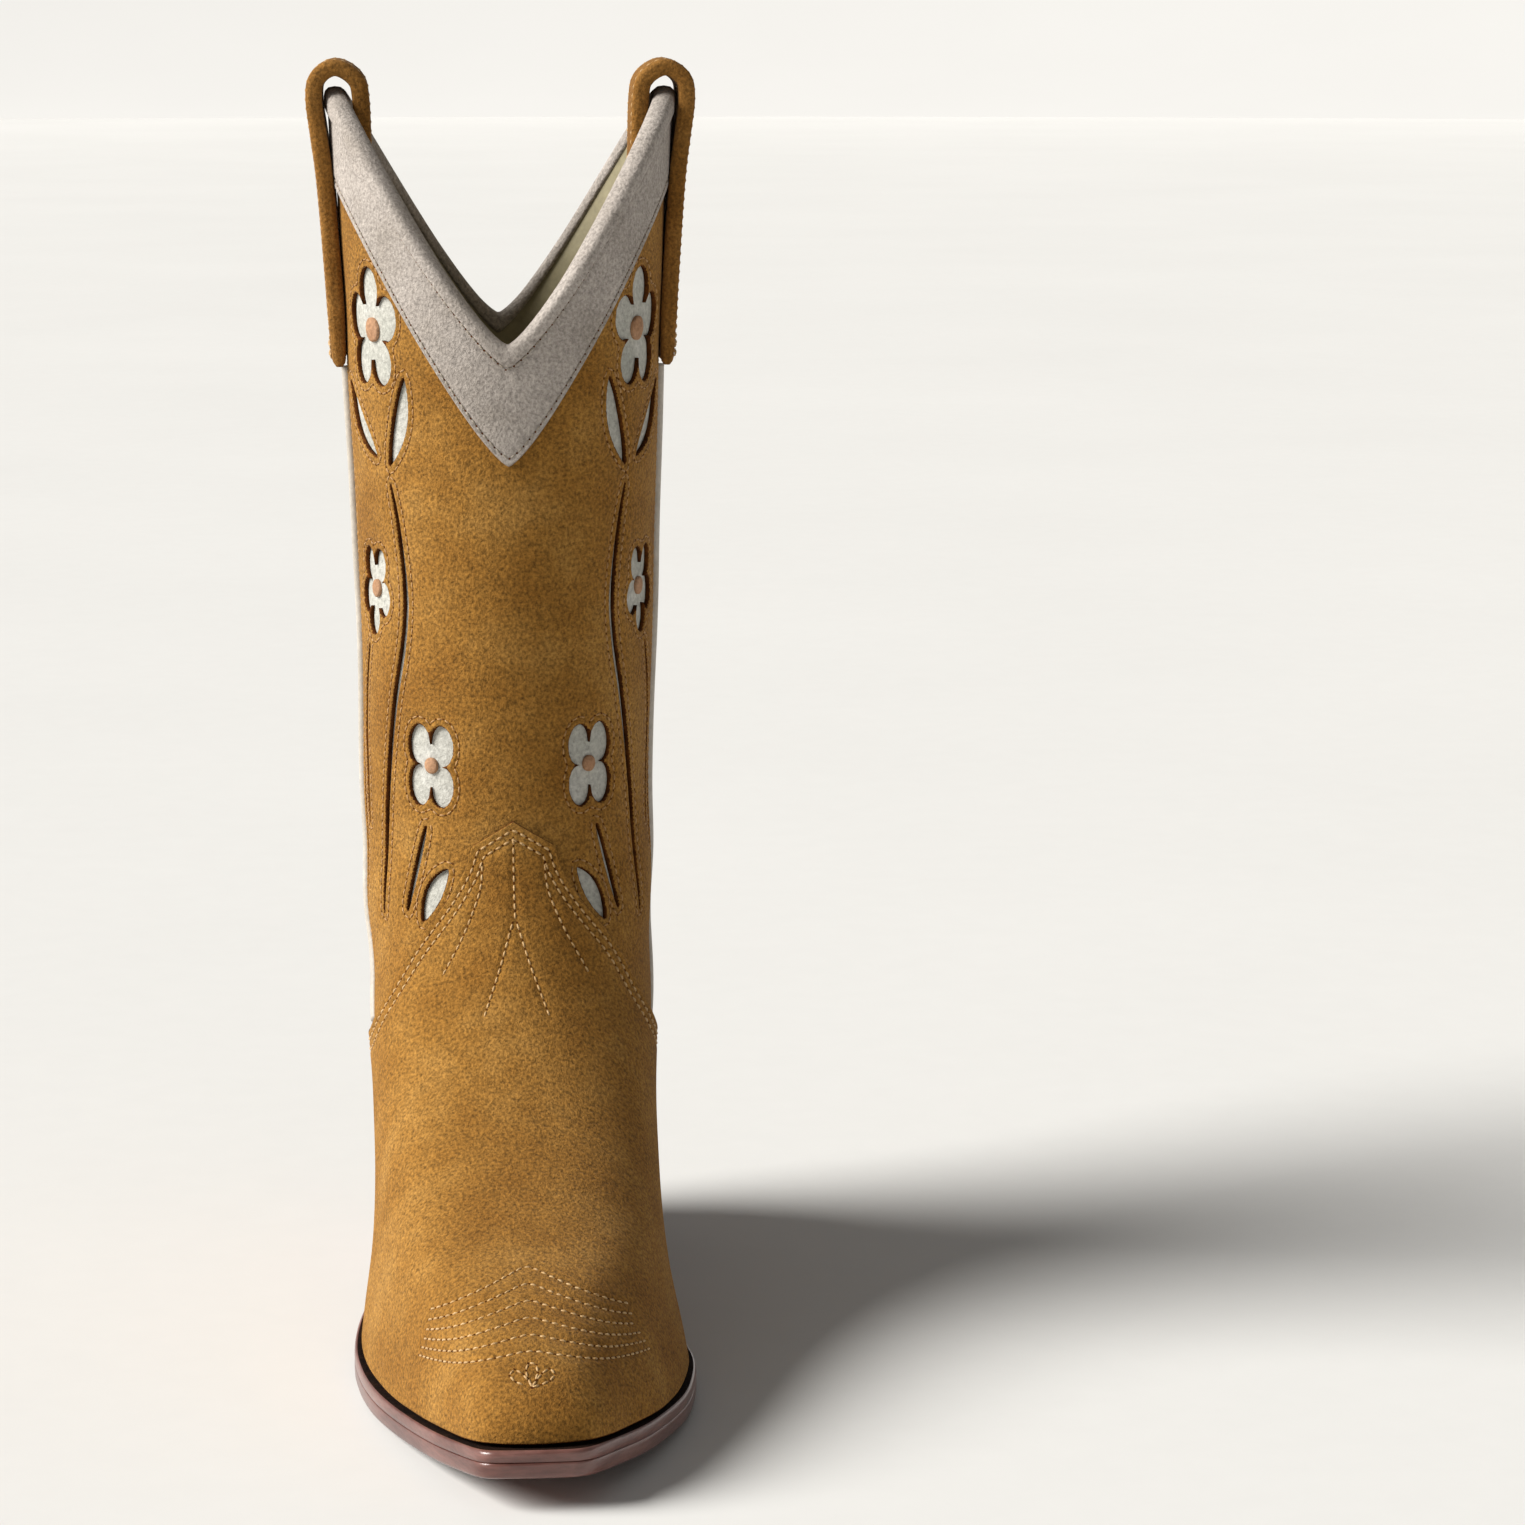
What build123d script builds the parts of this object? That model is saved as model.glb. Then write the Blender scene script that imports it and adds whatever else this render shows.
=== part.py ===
from build123d import *
import math
import os

os.makedirs("parts", exist_ok=True)

# A right-foot western boot, in millimetres. The toe points to -Y, +Z is up, and +X is the inner (medial) side
# of the foot. Places along the foot are first given as "forward" distances from the back of the heel seat.

# ---------------------------------------------------------------- driving dimensions
SOLE_LENGTH = 288.0
MIDDLE_FORWARD = 140.6  # forward distance of the frame's origin
EAR_HEIGHT = 366.0  # top edge of the shaft at its two sides
NOTCH_HEIGHT = 293.0  # top edge of the shaft at the bottom of the front and back V
COLLAR_POINT_HEIGHT = 259.0  # lower tip of the V-shaped collar
COLLAR_SIDE_DROP = 26.0  # depth of the collar at the ears
SCALLOP_POWER = 1.3  # how straight-sided the V of the top line is
OUTSOLE_THICKNESS = 4.5
WELT_THICKNESS = 3.5
INSOLE_THICKNESS = 3.0
SOCK_THICKNESS = 1.2
HEEL_CAP_THICKNESS = 6.2
LIFT_THICKNESS = 5.6
BREAST_FORWARD = 79.5  # forward distance of the heel's front face
BREAST_TURN = 4.5  # degrees that the breast is turned in plan
BREAST_COVER = 0.8
SEAM_ANGLE = 90.0  # the side seams of the shaft, counted round from the front
STRAP_WIDTH = 27.0
STRAP_THICKNESS = 5.2
PEG_RADIUS = 1.5

PIPING_ANGLE = 1.1  # half the width of a piping, in degrees round the upper
PIPING_FOOT_HEIGHT = 87.0
LOWER_PIPING_TOP = 83.0
STRAP_FOOT = 284.0
STRAP_MIDDLE_Y = 85.6
# The middle of a pull strap's thickness, from its outer foot over the top edge to its inner foot: sideways, height.
STRAP_LINE = [(52.3, STRAP_FOOT), (53.4, 310), (54.7, 338), (55.7, 353), (56.1, 364), (54.8, 370.2), (49.5, 373.4),
              (43.7, 370.2), (42.0, 364), (41.4, 345), (40.4, 320)]
TOE_CORNER_RADIUS = 4.0
HEEL_TAPER = 3.4  # how far the heel draws in on each side down to its cap
HEEL_UNDERCUT = 5.0  # how far it draws in at the back
WELT_WIDTH = 9.0
RAND_FORWARD = 76.0  # where the welt ends and the heel rand begins
FILLER_FORWARD = 145.0
SHANK_LENGTH = 94.0
SHANK_WIDTH = 17.0
SHANK_THICKNESS = 1.6
SHANK_MIDDLE = 96.0
INSOLE_INSET = -4.4
CHANNEL_INSET = 4.6
CHANNEL_WIDTH = 1.4
CHANNEL_DEPTH = 0.9
CHANNEL_END = 135.0
THREAD_THICKNESS = 0.5
CAP_NAIL_RADIUS = 1.5
CAP_NAIL_LENGTH = 13.0
HEEL_NAIL_RADIUS = 1.2
BINDING_DEPTH = 4.5
TOE_BOX_ANGLE = 54.0
TOE_BOX_SHARE = 0.17
UNDERLAY_SHARE = 0.44
# Forward distance and sideways place of the fasteners.
PEGS = [(129, -25), (117, -21.5), (105, -20), (94.5, -19.5), (85, -20.5),
        (142, 20.3), (129, 18.8), (117.5, 17.3), (104.5, 16.5), (92, 17.6)]
CAP_NAILS = [(63, -18), (66, 19.5), (25, -15), (15, 1.5), (26, 18.5)]
HEEL_NAILS = [(56, -9), (56, 9), (30, -6), (33, 9)]

# The upper is built in layers on one smooth base surface. Each layer lies between two distances from it,
# counted outward.
LINING = (-3.4, -2.45)
UNDERLAY = (-2.2, -1.75)
SHAFT = (-1.5, 0.0)
INTERLINING = (-0.9, -0.3)
STIFFENER = (-2.25, -1.1)
COVER = (0.8, 2.15)
COLLAR = (0.25, 1.4)
BINDING = (1.6, 2.5)
PIPING = (-1.5, 1.7)
PIPING_LOW = (0.55, 2.5)

# ---------------------------------------------------------------- the foot, seen from the side and from below
# Forward distance and height of the outsole's lower face.
TREAD_LINE = [(-12, 31.4), (0, 31.2), (40, 30.0), (80, 28.0), (100, 22.5), (125, 13.5), (150, 5.0),
              (170, 0.7), (186, 0.0), (205, 0.7), (230, 2.0), (260, 5.0), (288, 9.2), (300, 11.2)]

# Forward distance and half width of the outsole on its outer (lateral) and inner (medial) side.
OUTER_SIDE = [(288, 12.6), (284, 15.6), (271, 21.5), (253, 29.0), (226, 38.5), (207, 44.0), (186, 47.5),
              (169, 48.8), (153, 47.3), (141, 43.3), (129, 37.3), (116, 33.2), (104, 31.4), (90, 31.2),
              (68, 32.6), (45, 33.0)]
INNER_SIDE = [(288, 13.0), (284, 16.8), (271, 24.0), (253, 33.6), (226, 43.8), (207, 47.8), (186, 49.5),
              (169, 47.0), (153, 41.3), (141, 34.6), (129, 28.6), (116, 24.8), (104, 24.6), (90, 27.6),
              (68, 32.0), (45, 33.0)]
HEEL_HALF_WIDTH = 33.0

# Half width of the upper where it meets the welt, at angles round from the toe: angle, outer, inner.
FEATHER_SHAPE = [(0, 0, 0), (7, 7.5, 8), (14, 13, 14.8), (22, 16.8, 19.6), (32, 21.2, 25.4), (45, 29, 35.3),
                 (60, 38.3, 43), (73, 43.7, 45.4), (83, 44.4, 40.4), (92, 39.6, 30.5), (102, 31.5, 24),
                 (113, 29.6, 27.3), (127, 31.4, 31.6), (143, 30.2, 30.2), (158, 24.6, 24.6),
                 (170, 12.5, 12.5), (180, 0, 0)]

# Rings of the base surface, from the feather line up to the top line. Each ring is stretched between a point on
# the front ridge and a point on the back seam: ridge forward, ridge height, back forward, back height, half
# width, and the share of its shape that it takes from the feather line.
RINGS = [(283, 17.0, 3.0, 39.4, 38.0, 1.00),
         (281, 24.5, 0.8, 48.0, 38.0, 0.80),
         (270, 33.0, 0.2, 59.0, 38.5, 0.45),
         (246, 42.5, 1.6, 73.0, 39.5, 0.18),
         (216, 52.0, 5.2, 88.0, 40.5, 0.05),
         (187, 65.0, 9.2, 102.0, 41.6, 0.0),
         (162, 81.0, 11.6, 116.0, 42.4, 0.0),
         (144, 98.0, 11.8, 131.0, 43.0, 0.0),
         (132, 117.0, 10.3, 148.0, 43.4, 0.0),
         (124, 140.0, 7.6, 168.0, 43.8, 0.0),
         (120.3, 168.0, 4.6, 193.0, 44.3, 0.0),
         (118.7, 205.0, 1.6, 223.0, 45.0, 0.0),
         (118, 245.0, -1.5, 256.0, 46.2, 0.0),
         (117.4, 285.0, -4.2, 291.0, 47.8, 0.0),
         (116.8, 325.0, -6.4, 328.0, 49.4, 0.0),
         (116.3, 372.0, -8.0, 372.0, 51.0, 0.0)]
SAG_SHARE = [1.0, 0.85, 0.55, 0.25, 0.08] + [0.0] * (len(RINGS) - 5)

# Top edge of the vamp: angle and height. The two sharp corners of the tongue are cut afterwards.
VAMP_LINE = [(0, 154.0), (15.5, 147.5), (24, 130.0), (36, 117.0), (52, 101.0), (72, 88.0), (90, 84.0), (100, 83.5)]
COUNTER_LINE = [(92, 83.5), (110, 86.0), (130, 91.0), (150, 97.0), (165, 100.0), (180, 101.0)]
HEM_DEPTH = 11.0  # how far the shaft reaches down under the vamp and the counter
SEAM_FOOT_ANGLE = 120.0  # the seam between vamp and counter, at the feather line and at its top
SEAM_TOP_ANGLE = 94.5
LOWER_SEAM_GAP = 2.2
SEAM_SWING = 8.0  # degrees that the side seams swing back at the ankle
SWING_END = 0.8
SEAM_GAP = 1.5  # degrees left on each side of a seam for its piping
FEATHER_SHARE = 0.008  # where the layers of the upper end above the welt
LINING_SPLIT = 0.40  # where the foot linings meet the shaft linings


# ---------------------------------------------------------------- curves
def follow(table, at, column=1):
    """Value of one column of a table at a place along its first column, on a smooth curve through its rows."""
    places = [row[0] for row in table]
    values = [row[column] for row in table]
    if places[0] > places[-1]:
        places.reverse()
        values.reverse()
    at = min(max(at, places[0]), places[-1])
    i = 0
    while i < len(places) - 2 and at > places[i + 1]:
        i += 1
    slopes = []
    for k in (i, i + 1):
        low, high = max(k - 1, 0), min(k + 1, len(places) - 1)
        slopes.append((values[high] - values[low]) / (places[high] - places[low]))
    step = places[i + 1] - places[i]
    t = (at - places[i]) / step
    return (
        values[i] * (1 + 2 * t) * (1 - t) ** 2
        + slopes[0] * step * t * (1 - t) ** 2
        + values[i + 1] * t * t * (3 - 2 * t)
        - slopes[1] * step * t * t * (1 - t)
    )


RING_TABLE = [(i / (len(RINGS) - 1), *ring, SAG_SHARE[i]) for i, ring in enumerate(RINGS)]
FEATHER_RISE = OUTSOLE_THICKNESS + WELT_THICKNESS + 0.15


def tread(forward):
    """Height of the outsole's lower face."""
    return follow(TREAD_LINE, forward)


def to_y(forward):
    return MIDDLE_FORWARD - forward


# ---------------------------------------------------------------- the base surface of the upper
def base_point(angle, share):
    """A point of the base surface: angle round from the front in degrees, share of the way up its rings."""
    angle = angle - 360 if angle > 180 else angle
    ring = [follow(RING_TABLE, share, column) for column in range(1, 8)]
    ridge_forward, ridge_height, back_forward, back_height, half_width, foot, sag = ring
    swing = SEAM_SWING * math.sin(math.pi * min(share / SWING_END, 1.0)) * math.sin(math.radians(abs(angle)))
    around = abs(angle) + swing
    turn = math.radians(around)
    along = (1 - math.cos(turn)) / 2
    forward = ridge_forward + (back_forward - ridge_forward) * along
    height = ridge_height + (back_height - ridge_height) * along
    if sag > 0:
        first = RINGS[0]
        feather_forward = first[0] + (first[2] - first[0]) * along
        straight = first[1] + (first[3] - first[1]) * along
        height += sag * (tread(feather_forward) + FEATHER_RISE - straight)
    wide = (1 - foot) * half_width * math.sin(turn)
    if foot > 0:
        wide += foot * follow(FEATHER_SHAPE, around, 1 if angle < 0 else 2)
    return Vector(math.copysign(wide, angle), to_y(forward), height)


def layer_point(angle, share, distance):
    """A point at a distance outside the base surface."""
    step = 0.002
    low, high = max(share - step, 0.0), min(share + step, 1.0)
    along = base_point(angle + 0.5, share) - base_point(angle - 0.5, share)
    up = base_point(angle, high) - base_point(angle, low)
    return base_point(angle, share) + along.cross(up).normalized() * distance


def share_at(angle, height):
    """How far up the rings the base surface reaches a height."""
    low, high = 0.0, 1.0
    for _ in range(40):
        middle = (low + high) / 2
        if base_point(angle, middle).Z < height:
            low = middle
        else:
            high = middle
    return low


def top_line(angle):
    rise = abs(math.sin(math.radians(angle))) ** SCALLOP_POWER
    return NOTCH_HEIGHT + (EAR_HEIGHT - NOTCH_HEIGHT) * rise


def collar_line(angle):
    rise = abs(math.sin(math.radians(angle))) ** SCALLOP_POWER
    return COLLAR_POINT_HEIGHT + (EAR_HEIGHT - COLLAR_SIDE_DROP - COLLAR_POINT_HEIGHT) * rise


def vamp_line(angle):
    return follow(VAMP_LINE, abs(angle))


def counter_line(angle):
    return follow(COUNTER_LINE, min(abs(angle), 360 - abs(angle)))


def lower_seam(part):
    """Angle of the seam between vamp and counter, from the feather line (0) to the top of the counter (1)."""
    return SEAM_FOOT_ANGLE + (SEAM_TOP_ANGLE - SEAM_FOOT_ANGLE) * part ** 0.7


def patch(first, last, low, high, layer, columns=24, rows=8):
    """A solid layer of the upper. Its side edges are angles and its lower and upper edges are shares of the
    height, each given as a function of where it is along its edge."""
    sections = []
    caps = []
    for j in range(rows + 1):
        part = j / rows
        start, end = first(part), last(part)
        places = []
        for i in range(columns + 1):
            angle = start + (end - start) * i / columns
            bottom, top = low(angle), high(angle)
            places.append((angle, bottom + (top - bottom) * part))
        inner = Spline([layer_point(*place, layer[0]) for place in places])
        outer = Spline([layer_point(*place, layer[1]) for place in places])
        sections.append(Wire([outer, Line(outer @ 1, inner @ 1), inner, Line(inner @ 0, outer @ 0)]))
        if j in (0, rows):
            caps.append(Face.make_surface_from_curves(outer, inner))
    sides = Solid.make_loft(sections)
    return Solid(Shell([*sides.faces(), *caps]))


FINEST = (48, 18)
FINE = (36, 18)  # columns and rows of the wide patches


def fixed(value):
    return lambda _: value


def at_height(line, drop=0.0):
    """Share of the height of a line across the upper, given as a function of the angle."""
    return lambda angle: share_at(angle, line(angle) - drop)


# ---------------------------------------------------------------- the sole unit
def plan_face(margin, back_margin):
    """Outline of the sole in plan, brought in by a margin, as a face on the XY plane."""
    tip = SOLE_LENGTH - margin
    outer = [(min(f, tip), margin - w) for f, w in OUTER_SIDE if f <= tip or f == SOLE_LENGTH]
    inner = [(min(f, tip), w - margin) for f, w in INNER_SIDE if f <= tip or f == SOLE_LENGTH]
    radius = HEEL_HALF_WIDTH - margin
    turns = [math.radians(15 * k) for k in range(1, 12)]
    arc = [(radius + back_margin - radius * math.sin(t), -radius * math.cos(t)) for t in turns]
    curve = Spline([Vector(x, to_y(f)) for f, x in [*outer, *arc, *reversed(inner)]])
    face = make_face(Wire([curve, Line(curve @ 1, curve @ 0)]))
    return fillet(face.vertices(), TOE_CORNER_RADIUS)


def feather_face(distance):
    """Outline of the upper just above the welt, moved outward by a distance, as a face on the XY plane."""
    turns = [-180 + 12 * k for k in range(30)]
    points = [layer_point(turn, 0.02, distance) for turn in turns]
    return make_face(Spline([Vector(p.X, p.Y) for p in points], periodic=True))


def slab(low, high, first=-20.0, last=300.0):
    """Everything between two offsets above the outsole's lower face, from one forward distance to another."""
    stops = 32
    run = [first + (last - first) * i / stops for i in range(stops + 1)]
    lower = Spline([Vector(0, to_y(f), tread(f) + low) for f in run])
    upper = Spline([Vector(0, to_y(f), tread(f) + high) for f in run])
    face = make_face(Wire([lower, Line(lower @ 0, upper @ 0), upper, Line(lower @ 1, upper @ 1)]))
    return extrude(face, amount=80, dir=(1, 0, 0), both=True)


def column_of(face):
    return extrude(Pos(0, 0, -5) * face, amount=80, dir=(0, 0, 1))


def between(first, last):
    """A block that keeps only what lies between two forward distances."""
    return Pos(0, to_y((first + last) / 2), 40) * Box(160, last - first, 160)


def behind_breast(gap):
    """A block behind the heel's breast plane, moved back by a gap."""
    block = Box(160, 120, 200, align=(Align.CENTER, Align.MIN, Align.CENTER))
    return Pos(0, to_y(BREAST_FORWARD - gap), 0) * Rot(0, 0, -BREAST_TURN) * block


def heel_face(margin, back, height):
    """Outline of the heel at a height, open past the breast, which is cut afterwards."""
    radius = HEEL_HALF_WIDTH - margin
    turns = [math.radians(15 * k) for k in range(13)]
    arc = [(back + radius - radius * math.sin(t), -radius * math.cos(t)) for t in turns]
    run = [(100, -radius + 2.5), (72, -radius + 0.8), *arc, (72, radius - 0.8), (100, radius - 2.5)]
    curve = Spline([Vector(x, to_y(f), height) for f, x in run])
    return make_face(Wire([curve, Line(curve @ 1, curve @ 0)]))


def pins(places, radius, low, high):
    """Round upright pins at forward distances and sideways places, each between two functions of the forward
    distance."""
    group = []
    for forward, side in places:
        bottom, top = low(forward), high(forward)
        pin = Cylinder(radius, top - bottom, align=(Align.CENTER, Align.CENTER, Align.MIN))
        group.append(Pos(side, to_y(forward), bottom) * pin)
    return group


def without(solid, pieces):
    for piece in pieces:
        solid -= piece
    return solid


def sole_parts():
    cap_nails = pins(CAP_NAILS, CAP_NAIL_RADIUS, fixed(0.0), fixed(CAP_NAIL_LENGTH))
    insole_top = OUTSOLE_THICKNESS + WELT_THICKNESS + INSOLE_THICKNESS
    heel_nails = pins(HEEL_NAILS, HEEL_NAIL_RADIUS, fixed(CAP_NAIL_LENGTH + 2), lambda f: tread(f) + insole_top - 0.6)
    level = OUTSOLE_THICKNESS + WELT_THICKNESS
    layers = slab(0, level)
    pegs = pins(PEGS, PEG_RADIUS, lambda f: tread(f) - 2, lambda f: tread(f) + level + 2)
    pegs = [(peg & layers).solids()[0] for peg in pegs]

    channel = column_of(plan_face(CHANNEL_INSET, CHANNEL_INSET))
    channel -= column_of(plan_face(CHANNEL_INSET + CHANNEL_WIDTH, CHANNEL_INSET + CHANNEL_WIDTH))
    channel &= slab(-1.0, CHANNEL_DEPTH)
    channel &= between(CHANNEL_END, 300)
    thread = channel & slab(CHANNEL_DEPTH - THREAD_THICKNESS, CHANNEL_DEPTH)

    outsole = column_of(plan_face(0, 0)) & slab(0, OUTSOLE_THICKNESS)
    outsole = without(outsole - channel, [*heel_nails, *pegs])
    cavity = column_of(plan_face(WELT_WIDTH, WELT_WIDTH))
    rim = (column_of(plan_face(0.4, 0.4)) & slab(OUTSOLE_THICKNESS, level)) - cavity
    welt = rim & between(RAND_FORWARD, 300)
    rand = rim & between(-20, RAND_FORWARD - 0.3)
    core = column_of(plan_face(WELT_WIDTH + 0.2, WELT_WIDTH + 0.2))
    filler = core & slab(OUTSOLE_THICKNESS, level) & between(FILLER_FORWARD, 300)
    strip = Pos(0, to_y(SHANK_MIDDLE), 20) * Box(SHANK_WIDTH, SHANK_LENGTH, 60)
    spring = strip & slab(OUTSOLE_THICKNESS, OUTSOLE_THICKNESS + SHANK_THICKNESS)
    cover = core & slab(OUTSOLE_THICKNESS + SHANK_THICKNESS, level) & between(-20, FILLER_FORWARD - 0.3)
    insole = column_of(feather_face(INSOLE_INSET)) & slab(level, insole_top)
    sock = column_of(feather_face(INSOLE_INSET - 0.4)) & slab(insole_top, insole_top + SOCK_THICKNESS)

    parts = {
        "outsole": outsole,
        "outsole_stitch_row": thread,
        "welt": without(welt, pegs),
        "heel_seat_rand": rand,
        "forepart_filler": filler,
        "shank_spring": without(spring, [*heel_nails, *pegs]),
        "shank_cover": without(cover, [*heel_nails, *pegs]),
        "insole": without(insole, heel_nails),
        "sock_liner": sock,
        "shank_pegs": Compound(children=pegs),
        "heel_cap_nails": Compound(children=cap_nails),
        "heel_attaching_nails": Compound(children=heel_nails),
    }

    block = loft([heel_face(0.4, 0.4, 40), heel_face(HEEL_TAPER, HEEL_UNDERCUT, 0)], ruled=True)
    block &= slab(-60, 0)
    stack = block & behind_breast(BREAST_COVER)
    facing = block & behind_breast(0)
    facing = (facing - behind_breast(BREAST_COVER)) & (Pos(0, 0, HEEL_CAP_THICKNESS + 50) * Box(200, 400, 100))
    parts["heel_breast_cover"] = facing
    bottom = 0.0
    tops = [HEEL_CAP_THICKNESS + LIFT_THICKNESS * k for k in range(4)] + [60.0]
    names = ["heel_cap", "heel_lift_1", "heel_lift_2", "heel_lift_3", "heel_lift_4"]
    for name, top in zip(names, tops):
        layer = Pos(0, 0, (bottom + top) / 2) * Box(300, 500, top - bottom)
        whole = block & behind_breast(0) if name == "heel_cap" else stack
        parts[name] = without(whole & layer, [*cap_nails, *heel_nails])
        bottom = top
    return parts


# ---------------------------------------------------------------- the upper
def upper_parts():
    def half(angle, gap=SEAM_GAP):
        return fixed(gap - angle), fixed(angle - gap)

    def rear(angle, gap=SEAM_GAP):
        return fixed(angle + gap), fixed(360 - angle - gap)

    front = half(SEAM_ANGLE)
    back = rear(SEAM_ANGLE)
    feather = fixed(FEATHER_SHARE)
    top = at_height(top_line)
    vamp_sides = (lambda t: LOWER_SEAM_GAP - lower_seam(t), lambda t: lower_seam(t) - LOWER_SEAM_GAP)
    counter_sides = (lambda t: lower_seam(t) + LOWER_SEAM_GAP, lambda t: 360 - lower_seam(t) - LOWER_SEAM_GAP)
    parts = {
        "vamp": patch(*vamp_sides, feather, at_height(vamp_line), COVER, *FINEST),
        "counter_cover": patch(*counter_sides, feather, at_height(counter_line), COVER),
        "vamp_interlining": patch(*vamp_sides, feather, at_height(vamp_line, HEM_DEPTH + 1.5), INTERLINING, *FINE),
        "toe_box": patch(*half(TOE_BOX_ANGLE), feather, fixed(TOE_BOX_SHARE), STIFFENER),
        "heel_stiffener": patch(
            *rear(SEAM_FOOT_ANGLE), feather, at_height(counter_line, HEM_DEPTH + 1.5), STIFFENER
        ),
        "vamp_lining": patch(*half(98.0), feather, fixed(LINING_SPLIT - 0.003), LINING),
        "heel_lining": patch(*rear(98.0), feather, fixed(LINING_SPLIT - 0.003), LINING),
        "shaft_front": patch(*front, at_height(vamp_line, HEM_DEPTH), top, SHAFT, *FINE),
        "shaft_back": patch(*back, at_height(counter_line, HEM_DEPTH), top, SHAFT, *FINE),
        "front_underlay": patch(*half(86.0), fixed(UNDERLAY_SHARE), at_height(collar_line, -6), UNDERLAY, *FINE),
        "back_underlay": patch(*rear(94.0), fixed(UNDERLAY_SHARE), at_height(collar_line, -6), UNDERLAY, *FINE),
        "front_lining": patch(*front, fixed(LINING_SPLIT), top, LINING, *FINE),
        "back_lining": patch(*back, fixed(LINING_SPLIT), top, LINING, *FINE),
        "front_collar": patch(*front, at_height(collar_line), top, COLLAR),
        "back_collar": patch(*back, at_height(collar_line), top, COLLAR),
        "front_top_binding": patch(*front, at_height(top_line, BINDING_DEPTH), top, BINDING, rows=4),
        "back_top_binding": patch(*back, at_height(top_line, BINDING_DEPTH), top, BINDING, rows=4),
    }
    for name, side in (("lateral", -1), ("medial", 1)):
        middle = side * SEAM_ANGLE
        edges = (fixed(middle - PIPING_ANGLE), fixed(middle + PIPING_ANGLE))
        foot = fixed(share_at(middle, PIPING_FOOT_HEIGHT))
        parts[name + "_piping"] = patch(*edges, foot, fixed(share_at(middle, STRAP_FOOT - 1)), PIPING, 4, 10)
        seam = (lambda t: side * lower_seam(t) - PIPING_ANGLE, lambda t: side * lower_seam(t) + PIPING_ANGLE)
        seam_top = fixed(share_at(side * SEAM_TOP_ANGLE, LOWER_PIPING_TOP))
        parts[name + "_lower_piping"] = patch(*seam, feather, seam_top, PIPING_LOW, 4, 10)
        parts[name + "_pull_strap"] = pull_strap(side)
    return parts


def pull_strap(side):
    """A flat leather band, sewn on outside the seam, looped over the top edge and tucked in inside."""
    centre = Spline([Vector(x, 0, z) for x, z in STRAP_LINE])
    stops = 30
    edges = []
    for reach in (-STRAP_THICKNESS / 2, STRAP_THICKNESS / 2):
        points = []
        for i in range(stops + 1):
            across = (centre % (i / stops)).cross(Vector(0, 1, 0))
            points.append((centre @ (i / stops)) + across * reach)
        edges.append(Spline(points))
    one, two = edges
    face = make_face(Wire([one, Line(one @ 0, two @ 0), two, Line(one @ 1, two @ 1)]))
    band = extrude(face, amount=STRAP_WIDTH / 2, dir=(0, 1, 0), both=True)
    band = Pos(0, STRAP_MIDDLE_Y, 0) * band
    return mirror(band, about=Plane.YZ) if side < 0 else band


def export(parts):
    for name, shape in parts.items():
        export_step(shape, f"parts/{name}.step")


export(sole_parts())
export(upper_parts())
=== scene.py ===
"""A tan suede western boot, dressed in leather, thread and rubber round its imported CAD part."""
import math

import bpy
import numpy as np
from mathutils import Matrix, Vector
from mathutils.geometry import delaunay_2d_cdt
from mathutils.kdtree import KDTree


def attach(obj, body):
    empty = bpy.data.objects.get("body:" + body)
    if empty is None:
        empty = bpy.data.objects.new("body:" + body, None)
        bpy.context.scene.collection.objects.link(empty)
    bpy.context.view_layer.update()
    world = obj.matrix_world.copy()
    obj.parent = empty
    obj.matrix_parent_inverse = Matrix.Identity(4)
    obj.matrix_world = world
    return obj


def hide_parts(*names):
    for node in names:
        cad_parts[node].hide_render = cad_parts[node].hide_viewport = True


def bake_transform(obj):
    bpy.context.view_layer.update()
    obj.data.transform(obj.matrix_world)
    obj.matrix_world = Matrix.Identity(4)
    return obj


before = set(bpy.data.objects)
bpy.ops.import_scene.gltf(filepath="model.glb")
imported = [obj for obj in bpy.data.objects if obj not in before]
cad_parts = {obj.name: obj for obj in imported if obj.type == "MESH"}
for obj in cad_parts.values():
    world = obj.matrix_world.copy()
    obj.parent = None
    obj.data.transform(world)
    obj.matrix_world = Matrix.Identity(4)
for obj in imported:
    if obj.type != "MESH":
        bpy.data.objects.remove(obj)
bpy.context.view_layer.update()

# Millimetres in the row frame: the toe points to -Y, +X is the inner side of the foot, and forward distances
# are counted from the back of the heel seat. MM turns them into metres.
MM = 0.001
SOLE_LENGTH = 288.0
MIDDLE_FORWARD = 140.6
EAR_HEIGHT, NOTCH_HEIGHT = 366.0, 293.0
COLLAR_POINT_HEIGHT, COLLAR_SIDE_DROP = 259.0, 26.0
SCALLOP_POWER = 1.3
OUTSOLE_THICKNESS, WELT_TOP = 4.5, 8.0
FEATHER_SHARE = 0.006
SEAM_ANGLE = 90.0
STRAP_WIDTH, STRAP_THICKNESS, STRAP_MIDDLE_Y = 27.0, 5.0, 85.6
DEGREES_PER_MM = 1.12  # angle round the shaft that one millimetre takes

# Layers of the upper: distances outside the base surface.
LINING = (-3.4, -2.5)
UNDERLAY = (-2.4, -1.55)
SHAFT = (-1.5, 0.0)
INTERLINING = (-0.9, -0.3)
STIFFENER = (-2.25, -1.1)
COVER = (0.3, 2.1)
COLLAR = (0.15, 1.4)

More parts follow.
